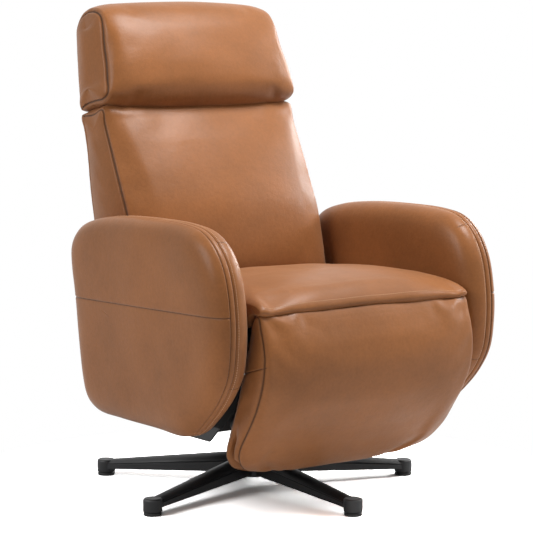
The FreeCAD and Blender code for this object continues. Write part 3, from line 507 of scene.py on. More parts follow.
def plain_material(name, colour, roughness, metallic=0.0, grain_scale=400.0, grain=0.15):
    """A moulded or coated surface with a fine texture and slightly uneven gloss."""
    material, nodes, links, shader = new_material(name)
    coords = nodes.new("ShaderNodeTexCoord").outputs["Object"]
    cloud = noise_node(nodes, links, coords, 14.0, 4.0)
    stops = [(0.3, toned(colour, 1.0 - TONE_SPREAD)), (0.7, toned(colour, 1.0 + TONE_SPREAD))]
    tone = ramp_node(nodes, links, cloud.outputs["Fac"], stops)
    links.new(tone.outputs["Color"], shader.inputs["Base Color"])
    low = grey(roughness * (1.0 - GLOSS_SPREAD))
    high = grey(roughness * (1.0 + GLOSS_SPREAD))
    rough = ramp_node(nodes, links, cloud.outputs["Fac"], [(0.3, low), (0.7, high)])
    links.new(rough.outputs["Color"], shader.inputs["Roughness"])
    fine = noise_node(nodes, links, coords, grain_scale, 3.0)
    bump = bump_node(nodes, links, fine.outputs["Fac"], grain, 0.0005)
    links.new(bump.outputs["Normal"], shader.inputs["Normal"])
    shader.inputs["Metallic"].default_value = metallic
    return material


def woven_material(name, colour, scale):
    """A plain weave, for the lining cloth and the webbing."""
    material, nodes, links, shader = new_material(name)
    coords = nodes.new("ShaderNodeTexCoord").outputs["Object"]
    weave = nodes.new("ShaderNodeMath")
    weave.operation = "MAXIMUM"
    for thread, direction in enumerate(("X", "Z")):
        wave = nodes.new("ShaderNodeTexWave")
        wave.bands_direction = direction
        wave.inputs["Scale"].default_value = scale
        wave.inputs["Distortion"].default_value = 0.6
        links.new(coords, wave.inputs["Vector"])
        links.new(wave.outputs["Fac"], weave.inputs[thread])
    stops = [(0.2, toned(colour, 0.6)), (0.8, toned(colour, 1.0))]
    tone = ramp_node(nodes, links, weave.outputs["Value"], stops)
    links.new(tone.outputs["Color"], shader.inputs["Base Color"])
    bump = bump_node(nodes, links, weave.outputs["Value"], 0.5, 0.0006)
    links.new(bump.outputs["Normal"], shader.inputs["Normal"])
    shader.inputs["Roughness"].default_value = 0.85
    return material


WOOD_DARK = (0.42, 0.27, 0.14, 1.0)
WOOD_LIGHT = (0.62, 0.44, 0.26, 1.0)


def plywood_material(name):
    """Pale wood with long fibres."""
    material, nodes, links, shader = new_material(name)
    coords = nodes.new("ShaderNodeTexCoord").outputs["Object"]
    stretch = nodes.new("ShaderNodeMapping")
    stretch.inputs["Scale"].default_value = (1.0, 1.0, 12.0)
    links.new(coords, stretch.inputs["Vector"])
    fibre = noise_node(nodes, links, stretch.outputs["Vector"], 16.0, 6.0)
    tone = ramp_node(nodes, links, fibre.outputs["Fac"], [(0.3, WOOD_DARK), (0.7, WOOD_LIGHT)])
    links.new(tone.outputs["Color"], shader.inputs["Base Color"])
    bump = bump_node(nodes, links, fibre.outputs["Fac"], 0.2, 0.0008)
    links.new(bump.outputs["Normal"], shader.inputs["Normal"])
    shader.inputs["Roughness"].default_value = 0.7
    return material


LEATHER_COLOUR = (0.252, 0.093, 0.028)
THREAD_COLOUR = (0.55, 0.31, 0.17)
COAT_COLOUR = (0.011, 0.011, 0.012)

leather = leather_material("saddle_leather", LEATHER_COLOUR)
thread_material = plain_material("thread", THREAD_COLOUR, 0.6, grain_scale=2500.0, grain=0.5)
black_metal = plain_material("black_powder_coat", COAT_COLOUR, 0.42, grain_scale=900.0, grain=0.25)
steel = plain_material("zinc_steel", (0.42, 0.42, 0.43), 0.35, metallic=1.0)
plastic = plain_material("black_plastic", (0.014, 0.014, 0.014), 0.5)
rubber = plain_material("black_rubber", (0.012, 0.012, 0.012), 0.8)
lining = woven_material("black_lining", (0.010, 0.010, 0.010), 900.0)
webbing = woven_material("dark_webbing", (0.035, 0.035, 0.035), 500.0)
plywood = plywood_material("birch_plywood")

SLOT_MATERIALS = {
    "leather": leather, "black_metal": black_metal, "steel": steel, "plastic": plastic,
    "rubber": rubber, "cloth": lining, "webbing": webbing, "plywood": plywood}


def dress_frame():
    """Gives every CAD node the finish of its material slot."""
    for part in frame["record"]["subparts"]:
        node = frame["nodes"][part["node"]]
        node.data.materials.clear()
        node.data.materials.append(SLOT_MATERIALS[part["material_slot"]])


# Padded pieces

# The distance from its seam over which a side panel rises to its bulge
CAP_DOME = 0.014
# Where the rows of a side panel stand, as shares of the way from its seam to its middle
CAP_SHARES = [0.90, 0.82, 0.7, 0.55, 0.4, 0.28, 0.18, 0.11, 0.06, 0.03, 0.012]
# Distances in from a seam, where the first rows of the band stand on a piece 0.25 m in half width
SEAM_STEPS = np.array([0.0, 0.0022, 0.0045, 0.0075, 0.0115, 0.017, 0.024]) / 0.25
# Points on each side over which a corner of the outline is measured, and the most that an edge drops
# there, as a share of the corner's radius
CORNER_SPAN = 3
CORNER_SHARE = 0.6
# Gathers beside a seam: their height, their pitch, their length and how far they reach
GATHER_HEIGHT = 0.0006
GATHER_PITCH = 0.016
GATHER_LENGTH = 0.05
GATHER_REACH = 0.014
# A side seam: its width and depth, and the width of the painted shade at its bottom
SIDE_SEAM_WIDTH = 0.0022
SIDE_SEAM_DEPTH = 0.0035
SIDE_SEAM_SHADE_WIDTH = 0.0016
# How often the side panels are evened out
RELAX_ROUNDS = 14
# Rows left free beside a side seam where stitches cross a cover
STITCH_MARGIN = 4


def safe_drop(curve, drop):
    """Keeps an edge's drop well below the radius of the outline's tight corners."""
    ahead = np.roll(curve, -CORNER_SPAN, axis=0) - curve
    behind = curve - np.roll(curve, CORNER_SPAN, axis=0)
    crossed = behind[:, 0] * ahead[:, 1] - behind[:, 1] * ahead[:, 0]
    turn = np.arctan2(crossed, (behind * ahead).sum(axis=1))
    turn *= np.sign(turn.sum())
    radius = np.linalg.norm(ahead, axis=1) / np.maximum(turn, 1e-4)
    limited = np.minimum(drop, CORNER_SHARE * radius)
    for shift in (1, 2, 4):
        limited = np.minimum(limited, np.minimum(np.roll(limited, shift), np.roll(limited, -shift)))
    for _ in range(6):
        limited = (np.roll(limited, 2) + limited + np.roll(limited, -2)) / 3.0
    return limited


def cap_rows(curve, medial, drop, half, side, bulge, shares):
    """Rows of a side gusset, from its middle out to its seam."""
    normals = outward(curve)
    edge = curve - normals * drop[:, None]
    middle = nearest_on(curve, *medial)
    rows = []
    for share in shares:
        flat = edge + (middle - edge) * share
        into = np.linalg.norm(flat - edge, axis=1)
        reach = half + bulge * (1.0 - np.exp(-into / CAP_DOME))
        rows.append(np.column_stack([side * reach, flat]))
    return rows


def pucker(points, normals, distance, along, seed):
    """Small gathers beside a seam, which fade away from it."""
    out = points.copy()
    for index in np.ndindex(distance.shape):
        if distance[index] < 3.0 * GATHER_REACH:
            place = (along[index] / GATHER_PITCH, seed, distance[index] / GATHER_LENGTH)
            wave = noise.noise(Vector(place))
            fade = math.exp(-distance[index] / GATHER_REACH)
            out[index] += normals[index] * (wave * GATHER_HEIGHT * fade)
    return out


def finish_cover(piece, body, nodes):
    """Gives a cover its leather and its smoothing, hangs it on its body, and hides the CAD parts it
    stands in for.
    """
    piece.data.materials.append(leather)
    smooth = piece.modifiers.new("smooth", "SUBSURF")
    smooth.levels = 1
    smooth.render_levels = 1
    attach(piece, body)
    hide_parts(*nodes)


def along_curve(value, curve):
    """A measure at every point of a curve, from one number or from a function of the curve."""
    return value(curve) if callable(value) else np.full(len(curve), value)


class Cover:
    """A padded piece: a band that goes round an outline, between two side panels.

    The rows of its grid go from the middle of the left side panel to its seam, across the band to the
    other seam, and to the middle of the right side panel. The columns go round the outline.
    half is half the band's width, and across the number of its rows between the first ones beside the
    seams. crown is how far the band rises between the seams, and power how flat it is on top. With
    upward, it rises straight up and not square to the outline. edge_drop and edge_width round it off
    towards the seams. side_bulge is the bulge of the side panels, and medial the line in their middle.
    """

    def __init__(self, name, outline, half, count, medial, crown, edge_drop, edge_width, side_bulge,
                 across, power, upward=False):
        self.curve = closed_curve(outline, count)
        normals = outward(self.curve)
        half = along_curve(half, self.curve)
        crown = along_curve(crown, self.curve)
        edge_drop = safe_drop(self.curve, along_curve(edge_drop, self.curve))
        left = cap_rows(self.curve, medial, edge_drop, half, -1.0, side_bulge, CAP_SHARES)
        right = cap_rows(self.curve, medial, edge_drop, half, 1.0, side_bulge, CAP_SHARES[::-1])
        inner = np.linspace(SEAM_STEPS[-1], 1.0, across // 2 + 1)[1:]
        shares = np.r_[SEAM_STEPS, inner]
        spots = np.r_[-1.0 + shares, (1.0 - shares)[::-1][1:]]
        rows = []
        for s in spots:
            into = (1.0 - abs(s)) * half
            turned = 1.0 - np.clip(into / edge_width, 0.0, 1.0)
            rounded = edge_drop * (1.0 - np.sqrt(np.clip(1.0 - turned ** 2, 0.0, 1.0)))
            swell = crown * (1.0 - abs(s) ** power)
            towards = np.array([0.0, 1.0]) if upward else normals
            flat = self.curve + towards * swell[:, None] - normals * rounded[:, None]
            rows.append(np.column_stack([s * half, flat]))
        zip_from = int(np.argmin(np.linalg.norm(self.curve - medial[0], axis=1)))
        self.left_seam = len(left)
        self.right_seam = len(left) + len(rows) - 1
        grid = np.array(left + rows + right)
        self.shape = grid.shape[:2]
        # Painted shade along the seams, 0 where there is none
        self.painted_shade = np.zeros(self.shape)
        self.piece = grid_mesh(name, grid, zip_from)

    def read(self):
        """The places and the normals of the cover's vertices, as grids."""
        mesh = self.piece.data
        return coordinates(mesh).reshape(*self.shape, 3), vertex_normals(mesh).reshape(*self.shape, 3)

    def seam_rows(self):
        """For every vertex, its distance from the nearer side seam, in metres along the grid."""
        points, _ = self.read()
        steps = np.linalg.norm(np.diff(points, axis=0), axis=2)
        along = np.vstack([np.zeros((1, self.shape[1])), np.cumsum(steps, axis=0)])
        left = np.abs(along - along[self.left_seam])
        right = np.abs(along - along[self.right_seam])
        return np.minimum(left, right)

    def swell(self):
        """Swells the cover wherever it isn't sewn down."""
        hold = np.clip(np.exp(-(self.seam_rows() / SEWN_REACH) ** 2), 0, 1)
        puff(self.piece, hold.ravel(), self.shape)

    def settle(self, seed, amount=0.0022, size=0.12):
        """Uneven padding under the cover, and gathers along its side seams."""
        points, normals = self.read()
        flat = crinkle(points.reshape(-1, 3), normals.reshape(-1, 3), amount, size, seed)
        points = flat.reshape(points.shape)
        distance = self.seam_rows()
        count = points.shape[1]
        step = np.linalg.norm(np.roll(self.curve, -1, axis=0) - self.curve, axis=1).mean()
        along = np.broadcast_to(np.arange(count) * step, distance.shape)
        points = pucker(points, normals, distance, along, seed)
        set_coordinates(self.piece.data, points.reshape(-1, 3))

    def relax_sides(self):
        """Lets the side panels even out between their seams, as a sheet of leather does."""
        rows, count = self.shape
        mesh = bmesh.new()
        mesh.from_mesh(self.piece.data)
        mesh.verts.ensure_lookup_table()
        inner = [*range(0, self.left_seam - 1), *range(self.right_seam + 2, rows)]
        loose = [mesh.verts[row * count + column] for row in inner for column in range(count)]
        every_way = {"use_axis_x": True, "use_axis_y": True, "use_axis_z": True}
        for _ in range(RELAX_ROUNDS):
            bmesh.ops.smooth_vert(mesh, verts=loose, factor=0.5, **every_way)
        mesh.to_mesh(self.piece.data)
        mesh.free()

    def column_at(self, place):
        """The column whose outline point is nearest to a place."""
        return int(np.argmin(np.linalg.norm(self.curve - place, axis=1)))

    def stitch_column(self, column, name, body):
        """A row of stitches straight across the cover, from seam to seam."""
        points, normals = self.read()
        rows = slice(self.left_seam + STITCH_MARGIN, self.right_seam - STITCH_MARGIN + 1)
        stitches(name, points[rows, column], normals[rows, column], body)

    def carve(self):
        """Draws the surface in along the side seams, and paints shade at their bottom, for the material.
        """
        points, normals = self.read()
        distance = self.seam_rows()
        drawn = groove(distance, SIDE_SEAM_WIDTH, SIDE_SEAM_DEPTH).ravel()
        set_coordinates(self.piece.data, points.reshape(-1, 3) - normals.reshape(-1, 3) * drawn[:, None])
        self.painted_shade = SEAM_SHADE_STRENGTH * np.exp(-(distance / SIDE_SEAM_SHADE_WIDTH) ** 2)

    def store_painted_shade(self):
        """Hands the painted shade of the seams to the material."""
        set_attribute(self.piece.data, "seam_shade", self.painted_shade.ravel())


# Lamps: name, place, size and power
LAMPS = [
    ("key", (3.2, -1.1, 2.2), 1.2, 58.0), ("side", (2.9, 0.8, 1.5), 1.0, 36.0),
    ("top", (0.7, -0.8, 3.1), 1.3, 116.0), ("fill", (-3.2, 0.3, 2.3), 2.0, 68.0)]
LAMP_TARGET = (0.0, 0.0, 0.5)
# The surround: how bright it lights the chair, and how bright it is seen
SURROUND_LIGHT = 0.16
SURROUND_SEEN = 1.0
WHITE = (1.0, 1.0, 1.0, 1.0)
FLOOR_SIZE = 18.0
FLOOR_COLOUR = (0.86, 0.86, 0.86, 1.0)
# What the camera sees of the floor is brighter by this much, so that only the close shadow stays
FLOOR_LIFT = 3.4
# The floor fades to white between these distances from the origin
FLOOR_FADE = (0.32, 0.72)


def point_at(item, place, target):
    """Puts a camera or a lamp at a place, turned to a target."""
    item.location = place
    direction = Vector(target) - Vector(place)
    item.rotation_euler = direction.to_track_quat("-Z", "Y").to_euler()
    bpy.context.scene.collection.objects.link(item)


def camera_and_light():
    """The camera of the photograph, and soft lamps above and at both sides."""
    camera = bpy.data.cameras.new("view")
    camera.lens = CAMERA_LENS
    camera.sensor_width = 36.0
    camera.sensor_fit = "AUTO"
    holder = bpy.data.objects.new("view", camera)
    point_at(holder, CAMERA_AT, CAMERA_TARGET)
    bpy.context.scene.camera = holder
    for name, place, size, power in LAMPS:
        lamp = bpy.data.lights.new(name, "AREA")
        lamp.shape = "DISK"
        lamp.size = size
        lamp.energy = power
        point_at(bpy.data.objects.new(name, lamp), place, LAMP_TARGET)


def seen_rays(nodes, links):
    """1 for rays from the camera and for rays that metal and glass send on, otherwise 0."""
    path = nodes.new("ShaderNodeLightPath")
    total = path.outputs["Is Camera Ray"]
    for kind in ("Is Glossy Ray", "Is Transmission Ray"):
        add = nodes.new("ShaderNodeMath")
        add.operation = "MAXIMUM"
        links.new(total, add.inputs[0])
        links.new(path.outputs[kind], add.inputs[1])
        total = add.outputs["Value"]
    return total


def chosen(nodes, links, share, first, second):
    """One shader where the share is 0, and another where it is 1."""
    node = nodes.new("ShaderNodeMixShader")
    links.new(share, node.inputs["Fac"])
    links.new(first, node.inputs[1])
    links.new(second, node.inputs[2])
    return node.outputs["Shader"]


def surround():
    """A white surround that lights the chair softly."""
    world = bpy.data.worlds.new("surround")
    bpy.context.scene.world = world
    world.use_nodes = True
    nodes = world.node_tree.nodes
    links = world.node_tree.links
    nodes.clear()
    shades = []
    for strength in (SURROUND_LIGHT, SURROUND_SEEN):
        shade = nodes.new("ShaderNodeBackground")
        shade.inputs["Color"].default_value = WHITE
        shade.inputs["Strength"].default_value = strength
        shades.append(shade.outputs["Background"])
    out = nodes.new("ShaderNodeOutputWorld")
    links.new(chosen(nodes, links, seen_rays(nodes, links), *shades), out.inputs["Surface"])


def floor_material():
    """A pale floor that keeps the close shadow and fades to white further out."""
    material, nodes, links, shader = new_material("floor_white")
    shader.inputs["Base Color"].default_value = FLOOR_COLOUR
    shader.inputs["Roughness"].default_value = 0.9
    shader.inputs["Specular IOR Level"].default_value = 0.0
    plain = shader.outputs["BSDF"]
    lift = nodes.new("ShaderNodeBsdfDiffuse")
    lift.inputs["Color"].default_value = (FLOOR_LIFT, FLOOR_LIFT, FLOOR_LIFT, 1.0)
    near = nodes.new("ShaderNodeAddShader")
    links.new(plain, near.inputs[0])
    links.new(lift.outputs["BSDF"], near.inputs[1])
    white = nodes.new("ShaderNodeEmission")
    white.inputs["Strength"].default_value = 1.0
    distance = nodes.new("ShaderNodeVectorMath")
    distance.operation = "LENGTH"
    links.new(nodes.new("ShaderNodeTexCoord").outputs["Object"], distance.inputs[0])
    share = nodes.new("ShaderNodeMapRange")
    share.interpolation_type = "SMOOTHSTEP"
    share.inputs["From Min"].default_value = FLOOR_FADE[0]
    share.inputs["From Max"].default_value = FLOOR_FADE[1]
    links.new(distance.outputs["Value"], share.inputs["Value"])
    path = nodes.new("ShaderNodeLightPath")
    ground = chosen(nodes, links, path.outputs["Is Camera Ray"], plain, near.outputs["Shader"])
    faded = chosen(nodes, links, share.outputs["Result"], ground, white.outputs["Emission"])
    seen = chosen(nodes, links, seen_rays(nodes, links), plain, faded)
    links.new(seen, nodes["Material Output"].inputs["Surface"])
    return material


def studio():
    """A pale floor and a white surround."""
    surround()
    mesh = bpy.data.meshes.new("floor")
    far = FLOOR_SIZE / 2
    corners = [(-far, -far, 0), (far, -far, 0), (far, far, 0), (-far, far, 0)]
    mesh.from_pydata(corners, [], [(0, 1, 2, 3)])
    floor = bpy.data.objects.new("floor", mesh)
    bpy.context.scene.collection.objects.link(floor)
    floor.data.materials.append(floor_material())


# The headrest
HEAD_OUTLINE = [
    (203.0, 831.0), (182.0, 846.0), (177.0, 872.0), (184.0, 910.0), (202.0, 955.0), (226.0, 1003.0),
    (250.0, 1032.0), (280.0, 1043.0), (318.0, 1040.0), (346.0, 1024.0), (361.0, 996.0), (354.0, 955.0),
    (338.0, 900.0), (321.0, 842.0), (314.0, 820.0), (305.0, 811.0), (285.0, 814.0), (245.0, 823.0)]
HEAD_MIDDLE = (spot(262.0, 870.0), spot(300.0, 985.0))
# Half width at the bottom, how much narrower it is at the top, and where the narrowing runs in height
HEAD_HALF = 0.252
HEAD_TAPER = 0.026
HEAD_TAPER_FROM = 0.83
HEAD_TAPER_RUN = 0.21
# How far the edge turns round everywhere, and how much further at the front
HEAD_EDGE = 0.013
HEAD_FRONT_EDGE = 0.013
# Heights between which the front edge turns further, and over what distance that starts and ends
HEAD_FRONT_LOW = 0.825
HEAD_FRONT_HIGH = 1.045
HEAD_LOW_BLEND = 0.060
HEAD_HIGH_BLEND = 0.075
HEAD_FRONT_BLEND = 0.045


def head_half(curve):
    """The headrest is a little narrower at its top."""
    share = np.clip((curve[:, 1] - HEAD_TAPER_FROM) / HEAD_TAPER_RUN, 0.0, 1.0)
    return HEAD_HALF - HEAD_TAPER * share


def head_drop(curve):
    """The front of the headrest turns further round to its side seam than the top and the rear."""
    height = curve[:, 1]
    above = smooth_step((height - HEAD_FRONT_LOW) / HEAD_LOW_BLEND)
    below = smooth_step((HEAD_FRONT_HIGH - height) / HEAD_HIGH_BLEND)
    ahead = before_line(curve, y=SWIVEL_BACK + 0.268, z=0.87, slope=0.33)
    return HEAD_EDGE + HEAD_FRONT_EDGE * (above * below) * smooth_step(ahead / HEAD_FRONT_BLEND)


def build_headrest():
    """The headrest's cover."""
    cover = Cover("headrest_cover", yz(HEAD_OUTLINE), head_half, 320, HEAD_MIDDLE, crown=0.010,
                  edge_drop=head_drop, edge_width=0.055, side_bulge=0.007, across=56, power=2.0)
    cover.swell()
    cover.relax_sides()
    cover.settle(seed=1.0)
    cover.carve()
    cover.store_painted_shade()
    finish_cover(cover.piece, HEADREST, ["headrest_cushion"])


# The backrest
BACK_OUTLINE = [
    (64.0, 430.0), (66.0, 470.0), (76.0, 525.0), (98.0, 600.0), (128.0, 668.0), (160.0, 735.0),
    (188.0, 795.0), (195.0, 816.0), (207.0, 829.0), (245.0, 821.5), (285.0, 812.5), (301.0, 808.0),
    (304.0, 797.0), (299.0, 775.0), (284.0, 705.0), (262.0, 590.0), (240.0, 470.0), (232.0, 420.0),
    (210.0, 414.0), (150.0, 414.0), (90.0, 414.0)]
BACK_MIDDLE = (spot(150.0, 470.0), spot(240.0, 770.0))
BACK_HALF = 0.254
BACK_CROWN = 0.024
# The seam across each side panel, between the padding and the shell behind it
BACK_SEAM_AT = (0.0, *spot(236.0, 560.0))
BACK_SEAM_NORMAL = (0.0, 0.982, -0.188)
BACK_SEAM_FROM = 0.2515


def back_crown(curve):
    """The padding of the backrest is fuller at the middle of its height."""
    front = before_line(curve, y=0.22, z=0.43, slope=0.25) > 0.0
    return np.where(front, BACK_CROWN * belly(curve, low=0.42, tall=0.40, power=0.6, ends=0.02), 0.0)


def build_back():
    """The backrest's cover."""
    cover = Cover("back_cover", yz(BACK_OUTLINE), BACK_HALF, 380, BACK_MIDDLE, crown=back_crown,
                  edge_drop=0.013, edge_width=0.050, side_bulge=0.004, across=56, power=2.0)
    cover.swell()
    cover.relax_sides()
    cover.settle(seed=7.0)
    cover.carve()
    cover.store_painted_shade()
    cut_seam(cover.piece, BACK_SEAM_AT, BACK_SEAM_NORMAL,
             lambda c: abs(c[0]) > BACK_SEAM_FROM, width=0.0014, depth=0.0020)
    finish_cover(cover.piece, BACKREST, ["back_cushion", "back_shell"])


# The seat
SEAT_OUTLINE = [
    (-388.0, 436.0), (-397.0, 440.0), (-399.5, 446.0), (-396.0, 453.0), (-382.0, 461.0), (-350.0, 466.0),
    (-290.0, 468.0), (-200.0, 466.0), (-100.0, 460.0), (0.0, 453.0), (56.0, 448.0), (64.0, 438.0),
    (60.0, 412.0), (40.0, 405.0), (-100.0, 405.0), (-300.0, 405.0), (-345.0, 414.0), (-368.0, 434.0)]
SEAT_MIDDLE = (spot(-360.0, 448.0), spot(30.0, 428.0))
SEAT_HALF = 0.266
SEAT_CROWN = 0.027
# Distances behind the front edge over which the top rises, and the height and the distance over which
# the side of the edge goes over into the top
SEAT_RISE_NEAR = 0.045
SEAT_RISE_FAR = 0.140
SEAT_TOP_FROM = 0.441
SEAT_TOP_RUN = 0.018
SEAT_STITCHES_AT = spot(-394.5, 454.2)


def seat_crown(curve):
    """The top of the seat rises quickly behind its front edge, and then more gently."""
    into = curve[:, 0] - curve[:, 0].min()
    rise = 0.5 * smooth_step(into / SEAT_RISE_FAR) + 0.5 * smooth_step(into / SEAT_RISE_NEAR)
    return SEAT_CROWN * rise * smooth_step((curve[:, 1] - SEAT_TOP_FROM) / SEAT_TOP_RUN)


def build_seat():
    """The seat's cover, with a row of stitches along its front edge."""
    cover = Cover("seat_cover", yz(SEAT_OUTLINE), SEAT_HALF, 360, SEAT_MIDDLE, crown=seat_crown,
                  edge_drop=0.007, edge_width=0.020, side_bulge=0.001, across=64, power=2.4, upward=True)
    cover.swell()
    cover.settle(seed=13.0, amount=0.0032, size=0.10)
    cover.stitch_column(cover.column_at(SEAT_STITCHES_AT), "seat_front_stitches", CHASSIS)
    cover.store_painted_shade()
    finish_cover(cover.piece, CHASSIS, ["seat_cushion"])


# The footrest
FOOT_OUTLINE = [
    (-382.0, 444.0), (-393.0, 440.5), (-400.0, 430.0), (-406.0, 412.0), (-414.0, 388.0), (-420.0, 355.0),
    (-414.0, 303.0), (-393.0, 250.0), (-360.0, 197.0), (-322.0, 147.0), (-290.0, 109.0), (-268.0, 97.0),
    (-251.0, 105.0), (-255.0, 128.0), (-285.0, 195.0), (-318.0, 270.0), (-342.0, 330.0), (-352.0, 380.0),
    (-360.0, 425.0)]
FOOT_MIDDLE = (spot(-372.0, 410.0), spot(-285.0, 135.0))
FOOT_HALF = 0.268
FOOT_CORNER = 0.080
FOOT_CROWN = 0.013
# The seam across each side panel, low down
FOOT_SEAM_AT = (0.0, SWIVEL_BACK - 0.340, 0.318)
FOOT_SEAM_NORMAL = (0.0, 0.28, 0.96)
FOOT_SEAM_FROM = 0.2655


def foot_half(curve):
    """The lower corners of the footrest are round."""
    low = curve[:, 1].min()
    into = np.clip((low + FOOT_CORNER - curve[:, 1]) / FOOT_CORNER, 0.0, 1.0)
    return FOOT_HALF - FOOT_CORNER * (1.0 - np.sqrt(np.clip(1.0 - into ** 2, 0.0, 1.0)))


def foot_crown(curve):
    """The front of the footrest is fuller at the middle of its height."""
    front = before_line(curve, y=SWIVEL_BACK - 0.250, z=0.10, slope=-0.36) > 0.0
    return np.where(front, FOOT_CROWN * belly(curve, low=0.10, tall=0.335, power=0.9, ends=0.03), 0.0)


def build_footrest():
    """The footrest's cover."""
    cover = Cover("footrest_cover", yz(FOOT_OUTLINE), foot_half, 340, FOOT_MIDDLE, crown=foot_crown,
                  edge_drop=0.010, edge_width=0.045, side_bulge=0.0035, across=60, power=2.0)
    cover.swell()
    cover.relax_sides()
    cover.settle(seed=19.0)
    cover.carve()
    cover.store_painted_shade()
    cut_seam(cover.piece, FOOT_SEAM_AT, FOOT_SEAM_NORMAL,
             lambda c: abs(c[0]) > FOOT_SEAM_FROM and c[1] < -0.25, width=0.0013, depth=0.0016)
    finish_cover(cover.piece, FOOTREST, ["footrest_cushion"])


# The arms
ARM_OUTLINE = [
    (-140.0, 186.0), (-228.0, 184.0), (-262.0, 192.0), (-303.0, 222.0), (-352.0, 270.0),
    (-384.0, 322.0), (-394.0, 385.0), (-392.0, 450.0), (-376.0, 520.0), (-345.0, 568.0),
    (-300.0, 598.0), (-240.0, 609.0), (-130.0, 612.0), (0.0, 608.0), (90.0, 597.0),
    (152.0, 577.0), (182.0, 545.0), (186.0, 505.0), (172.0, 410.0), (138.0, 240.0),
    (122.0, 208.0), (88.0, 190.0), (0.0, 186.0)]
ARM_MIDDLE = (spot(-210.0, 400.0), spot(0.0, 400.0))
ARM_CENTRE = 0.318
ARM_COLUMNS = 420
# Rows this far inside the outline or more are placed on the way to the middle line instead, and the
# last ones are this share of the way there
ARM_DEEP = 0.02
ARM_DEEPEST = 0.97
# The seam across the outer panel, and the short seams across the inner wrap
ARM_SEAM_AT = (0.0, SWIVEL_BACK + 0.180, 0.426)
ARM_SEAM_NORMAL = (0.0, 0.0244, 0.9997)
ARM_WRAP_SEAMS = [spot(-331.0, 580.0), spot(-371.0, 300.0), spot(160.0, 330.0)]
ARM_WRAP_FROM = 0.296
ARM_WRAP_TO = 0.3222
ARM_WRAP_REACH = 0.05
# The waves in the outer panels: their height, their size, how far from the centre plane they start,
# and over what distance
ARM_WAVE = 0.0018
ARM_WAVE_SIZE = 0.12
ARM_WAVE_FROM = 0.020
ARM_WAVE_RUN = 0.020
# Across the arm from its outer face to its inner face: how far from the centre plane, and how far
# inside the outline
OUTER_ROWS = [
    (0.0462, 0.140), (0.0462, 0.110), (0.0460, 0.085), (0.0455, 0.062), (0.0445, 0.045), (0.0425, 0.032),
    (0.0390, 0.0205), (0.0345, 0.0120), (0.0295, 0.0060), (0.0250, 0.0025), (0.0215, 0.0007),
    (0.0190, 0.0000), (0.0175, 0.0008)]
STRIP_ROWS = [
    (0.0168, 0.0030), (0.0160, 0.0008), (0.0140, -0.0003), (0.0110, -0.0008), (0.0080, -0.0006),
    (0.0055, 0.0002), (0.0046, 0.0015)]
WRAP_ROWS = [
    (0.0040, 0.0026), (0.0033, 0.0014), (0.0018, 0.0004), (-0.0010, -0.0004), (-0.0060, -0.0006),
    (-0.0120, 0.0004), (-0.0190, 0.0030), (-0.0255, 0.0075), (-0.0315, 0.0140), (-0.0365, 0.0225),
    (-0.0405, 0.0340), (-0.0430, 0.0480), (-0.0445, 0.0660), (-0.0452, 0.0880), (-0.0455, 0.1120),
    (-0.0455, 0.1400)]


ARM_ROWS = OUTER_ROWS + STRIP_ROWS + WRAP_ROWS
# The groove beside the strip and the seam on its other side, as rows of the grid
GROOVE_ROW = 1 + len(OUTER_ROWS)
SEAM_ROW = 1 + len(OUTER_ROWS) + len(STRIP_ROWS)
STITCH_ROW = SEAM_ROW + 3


def arm_row(side, out, flat):
    """One row of an arm's cover, at a distance from the arm's centre plane."""
    x = np.full(ARM_COLUMNS, side * (ARM_CENTRE + out))
    return np.column_stack([x, flat])


def arm_grid(side, curve):
    """The rows of an arm's cover, from the middle of its outer face to the middle of its inner face."""
    normals = outward(curve)
    middle = nearest_on(curve, *ARM_MIDDLE)
    reach = np.linalg.norm(middle - curve, axis=1)
    grid = []
    for out, inset in ARM_ROWS:
        if inset > ARM_DEEP:
            share = np.clip(inset / reach, 0.0, ARM_DEEPEST)
            flat = curve + (middle - curve) * share[:, None]
        else:
            flat = curve - normals * inset
        grid.append(arm_row(side, out, flat))
    last = curve + (middle - curve) * ARM_DEEPEST
    first = arm_row(side, ARM_ROWS[0][0], last)
    end = arm_row(side, ARM_ROWS[-1][0], last)
    return np.array([first] + grid + [end])


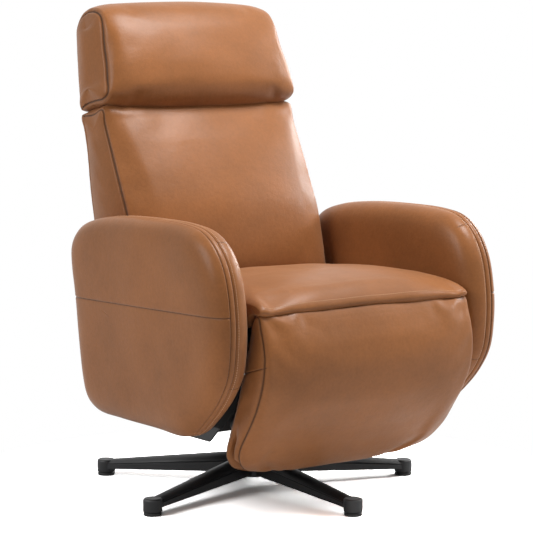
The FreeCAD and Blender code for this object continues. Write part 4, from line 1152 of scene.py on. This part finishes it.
def wave_outer_panel(piece, seed):
    """Makes the outer panel of an arm slightly uneven."""
    points = coordinates(piece.data)
    uneven = crinkle(points, vertex_normals(piece.data), ARM_WAVE, ARM_WAVE_SIZE, seed)
    outside = smooth_step((np.abs(points[:, 0]) - ARM_CENTRE - ARM_WAVE_FROM) / ARM_WAVE_RUN)
    set_coordinates(piece.data, points + (uneven - points) * outside[:, None])


def wrap_seam(piece, side, curve, place):
    """A short seam across the inner wrap of an arm."""
    column = int(np.argmin(np.linalg.norm(curve - place, axis=1)))
    middle = Vector((side * ARM_CENTRE, *curve[column]))
    tangent = curve[(column + 1) % ARM_COLUMNS] - curve[column - 1]

    def near(c):
        return ARM_WRAP_FROM < abs(c[0]) < ARM_WRAP_TO and (Vector(c) - middle).length < ARM_WRAP_REACH

    cut_seam(piece, middle, (0.0, *tangent), near, width=0.0011, depth=0.0012)


def build_arm(side, name, nodes):
    """One arm's cover: outer panel, narrow strip and inner wrap over a padded board."""
    curve = closed_curve(yz(ARM_OUTLINE), ARM_COLUMNS)
    grid = arm_grid(side, curve)
    piece = grid_mesh(name, grid, int(np.argmin(np.linalg.norm(curve - ARM_MIDDLE[0], axis=1))))
    wave_outer_panel(piece, 31.0 + side)
    # Painted shade in the groove beside the strip and in the seam on its other side
    painted_shade_rows = np.zeros(grid.shape[:2])
    painted_shade_rows[GROOVE_ROW] = 1.0
    painted_shade_rows[GROOVE_ROW - 1] = 0.5
    painted_shade_rows[SEAM_ROW] = 0.8
    set_attribute(piece.data, "seam_shade", painted_shade_rows.ravel())
    normals = vertex_normals(piece.data).reshape(grid.shape)
    stitches(name + "_stitches", grid[STITCH_ROW], normals[STITCH_ROW], CHASSIS, closed=True)
    groove_x = ARM_CENTRE + OUTER_ROWS[-1][0]
    cut_seam(piece, ARM_SEAM_AT, ARM_SEAM_NORMAL,
             lambda c: abs(c[0]) > groove_x, width=0.0016, depth=0.0020)
    for place in ARM_WRAP_SEAMS:
        wrap_seam(piece, side, curve, place)
    finish_cover(piece, CHASSIS, nodes)


bpy.context.scene.view_settings.view_transform = "Standard"
camera_and_light()
studio()
dress_frame()
build_headrest()
build_back()
build_seat()
build_footrest()
build_arm(-1.0, "arm_cover_left", ["arm_outer_pad_left", "arm_inner_pad_left"])
build_arm(1.0, "arm_cover_right", ["arm_outer_pad_right", "arm_inner_pad_right"])
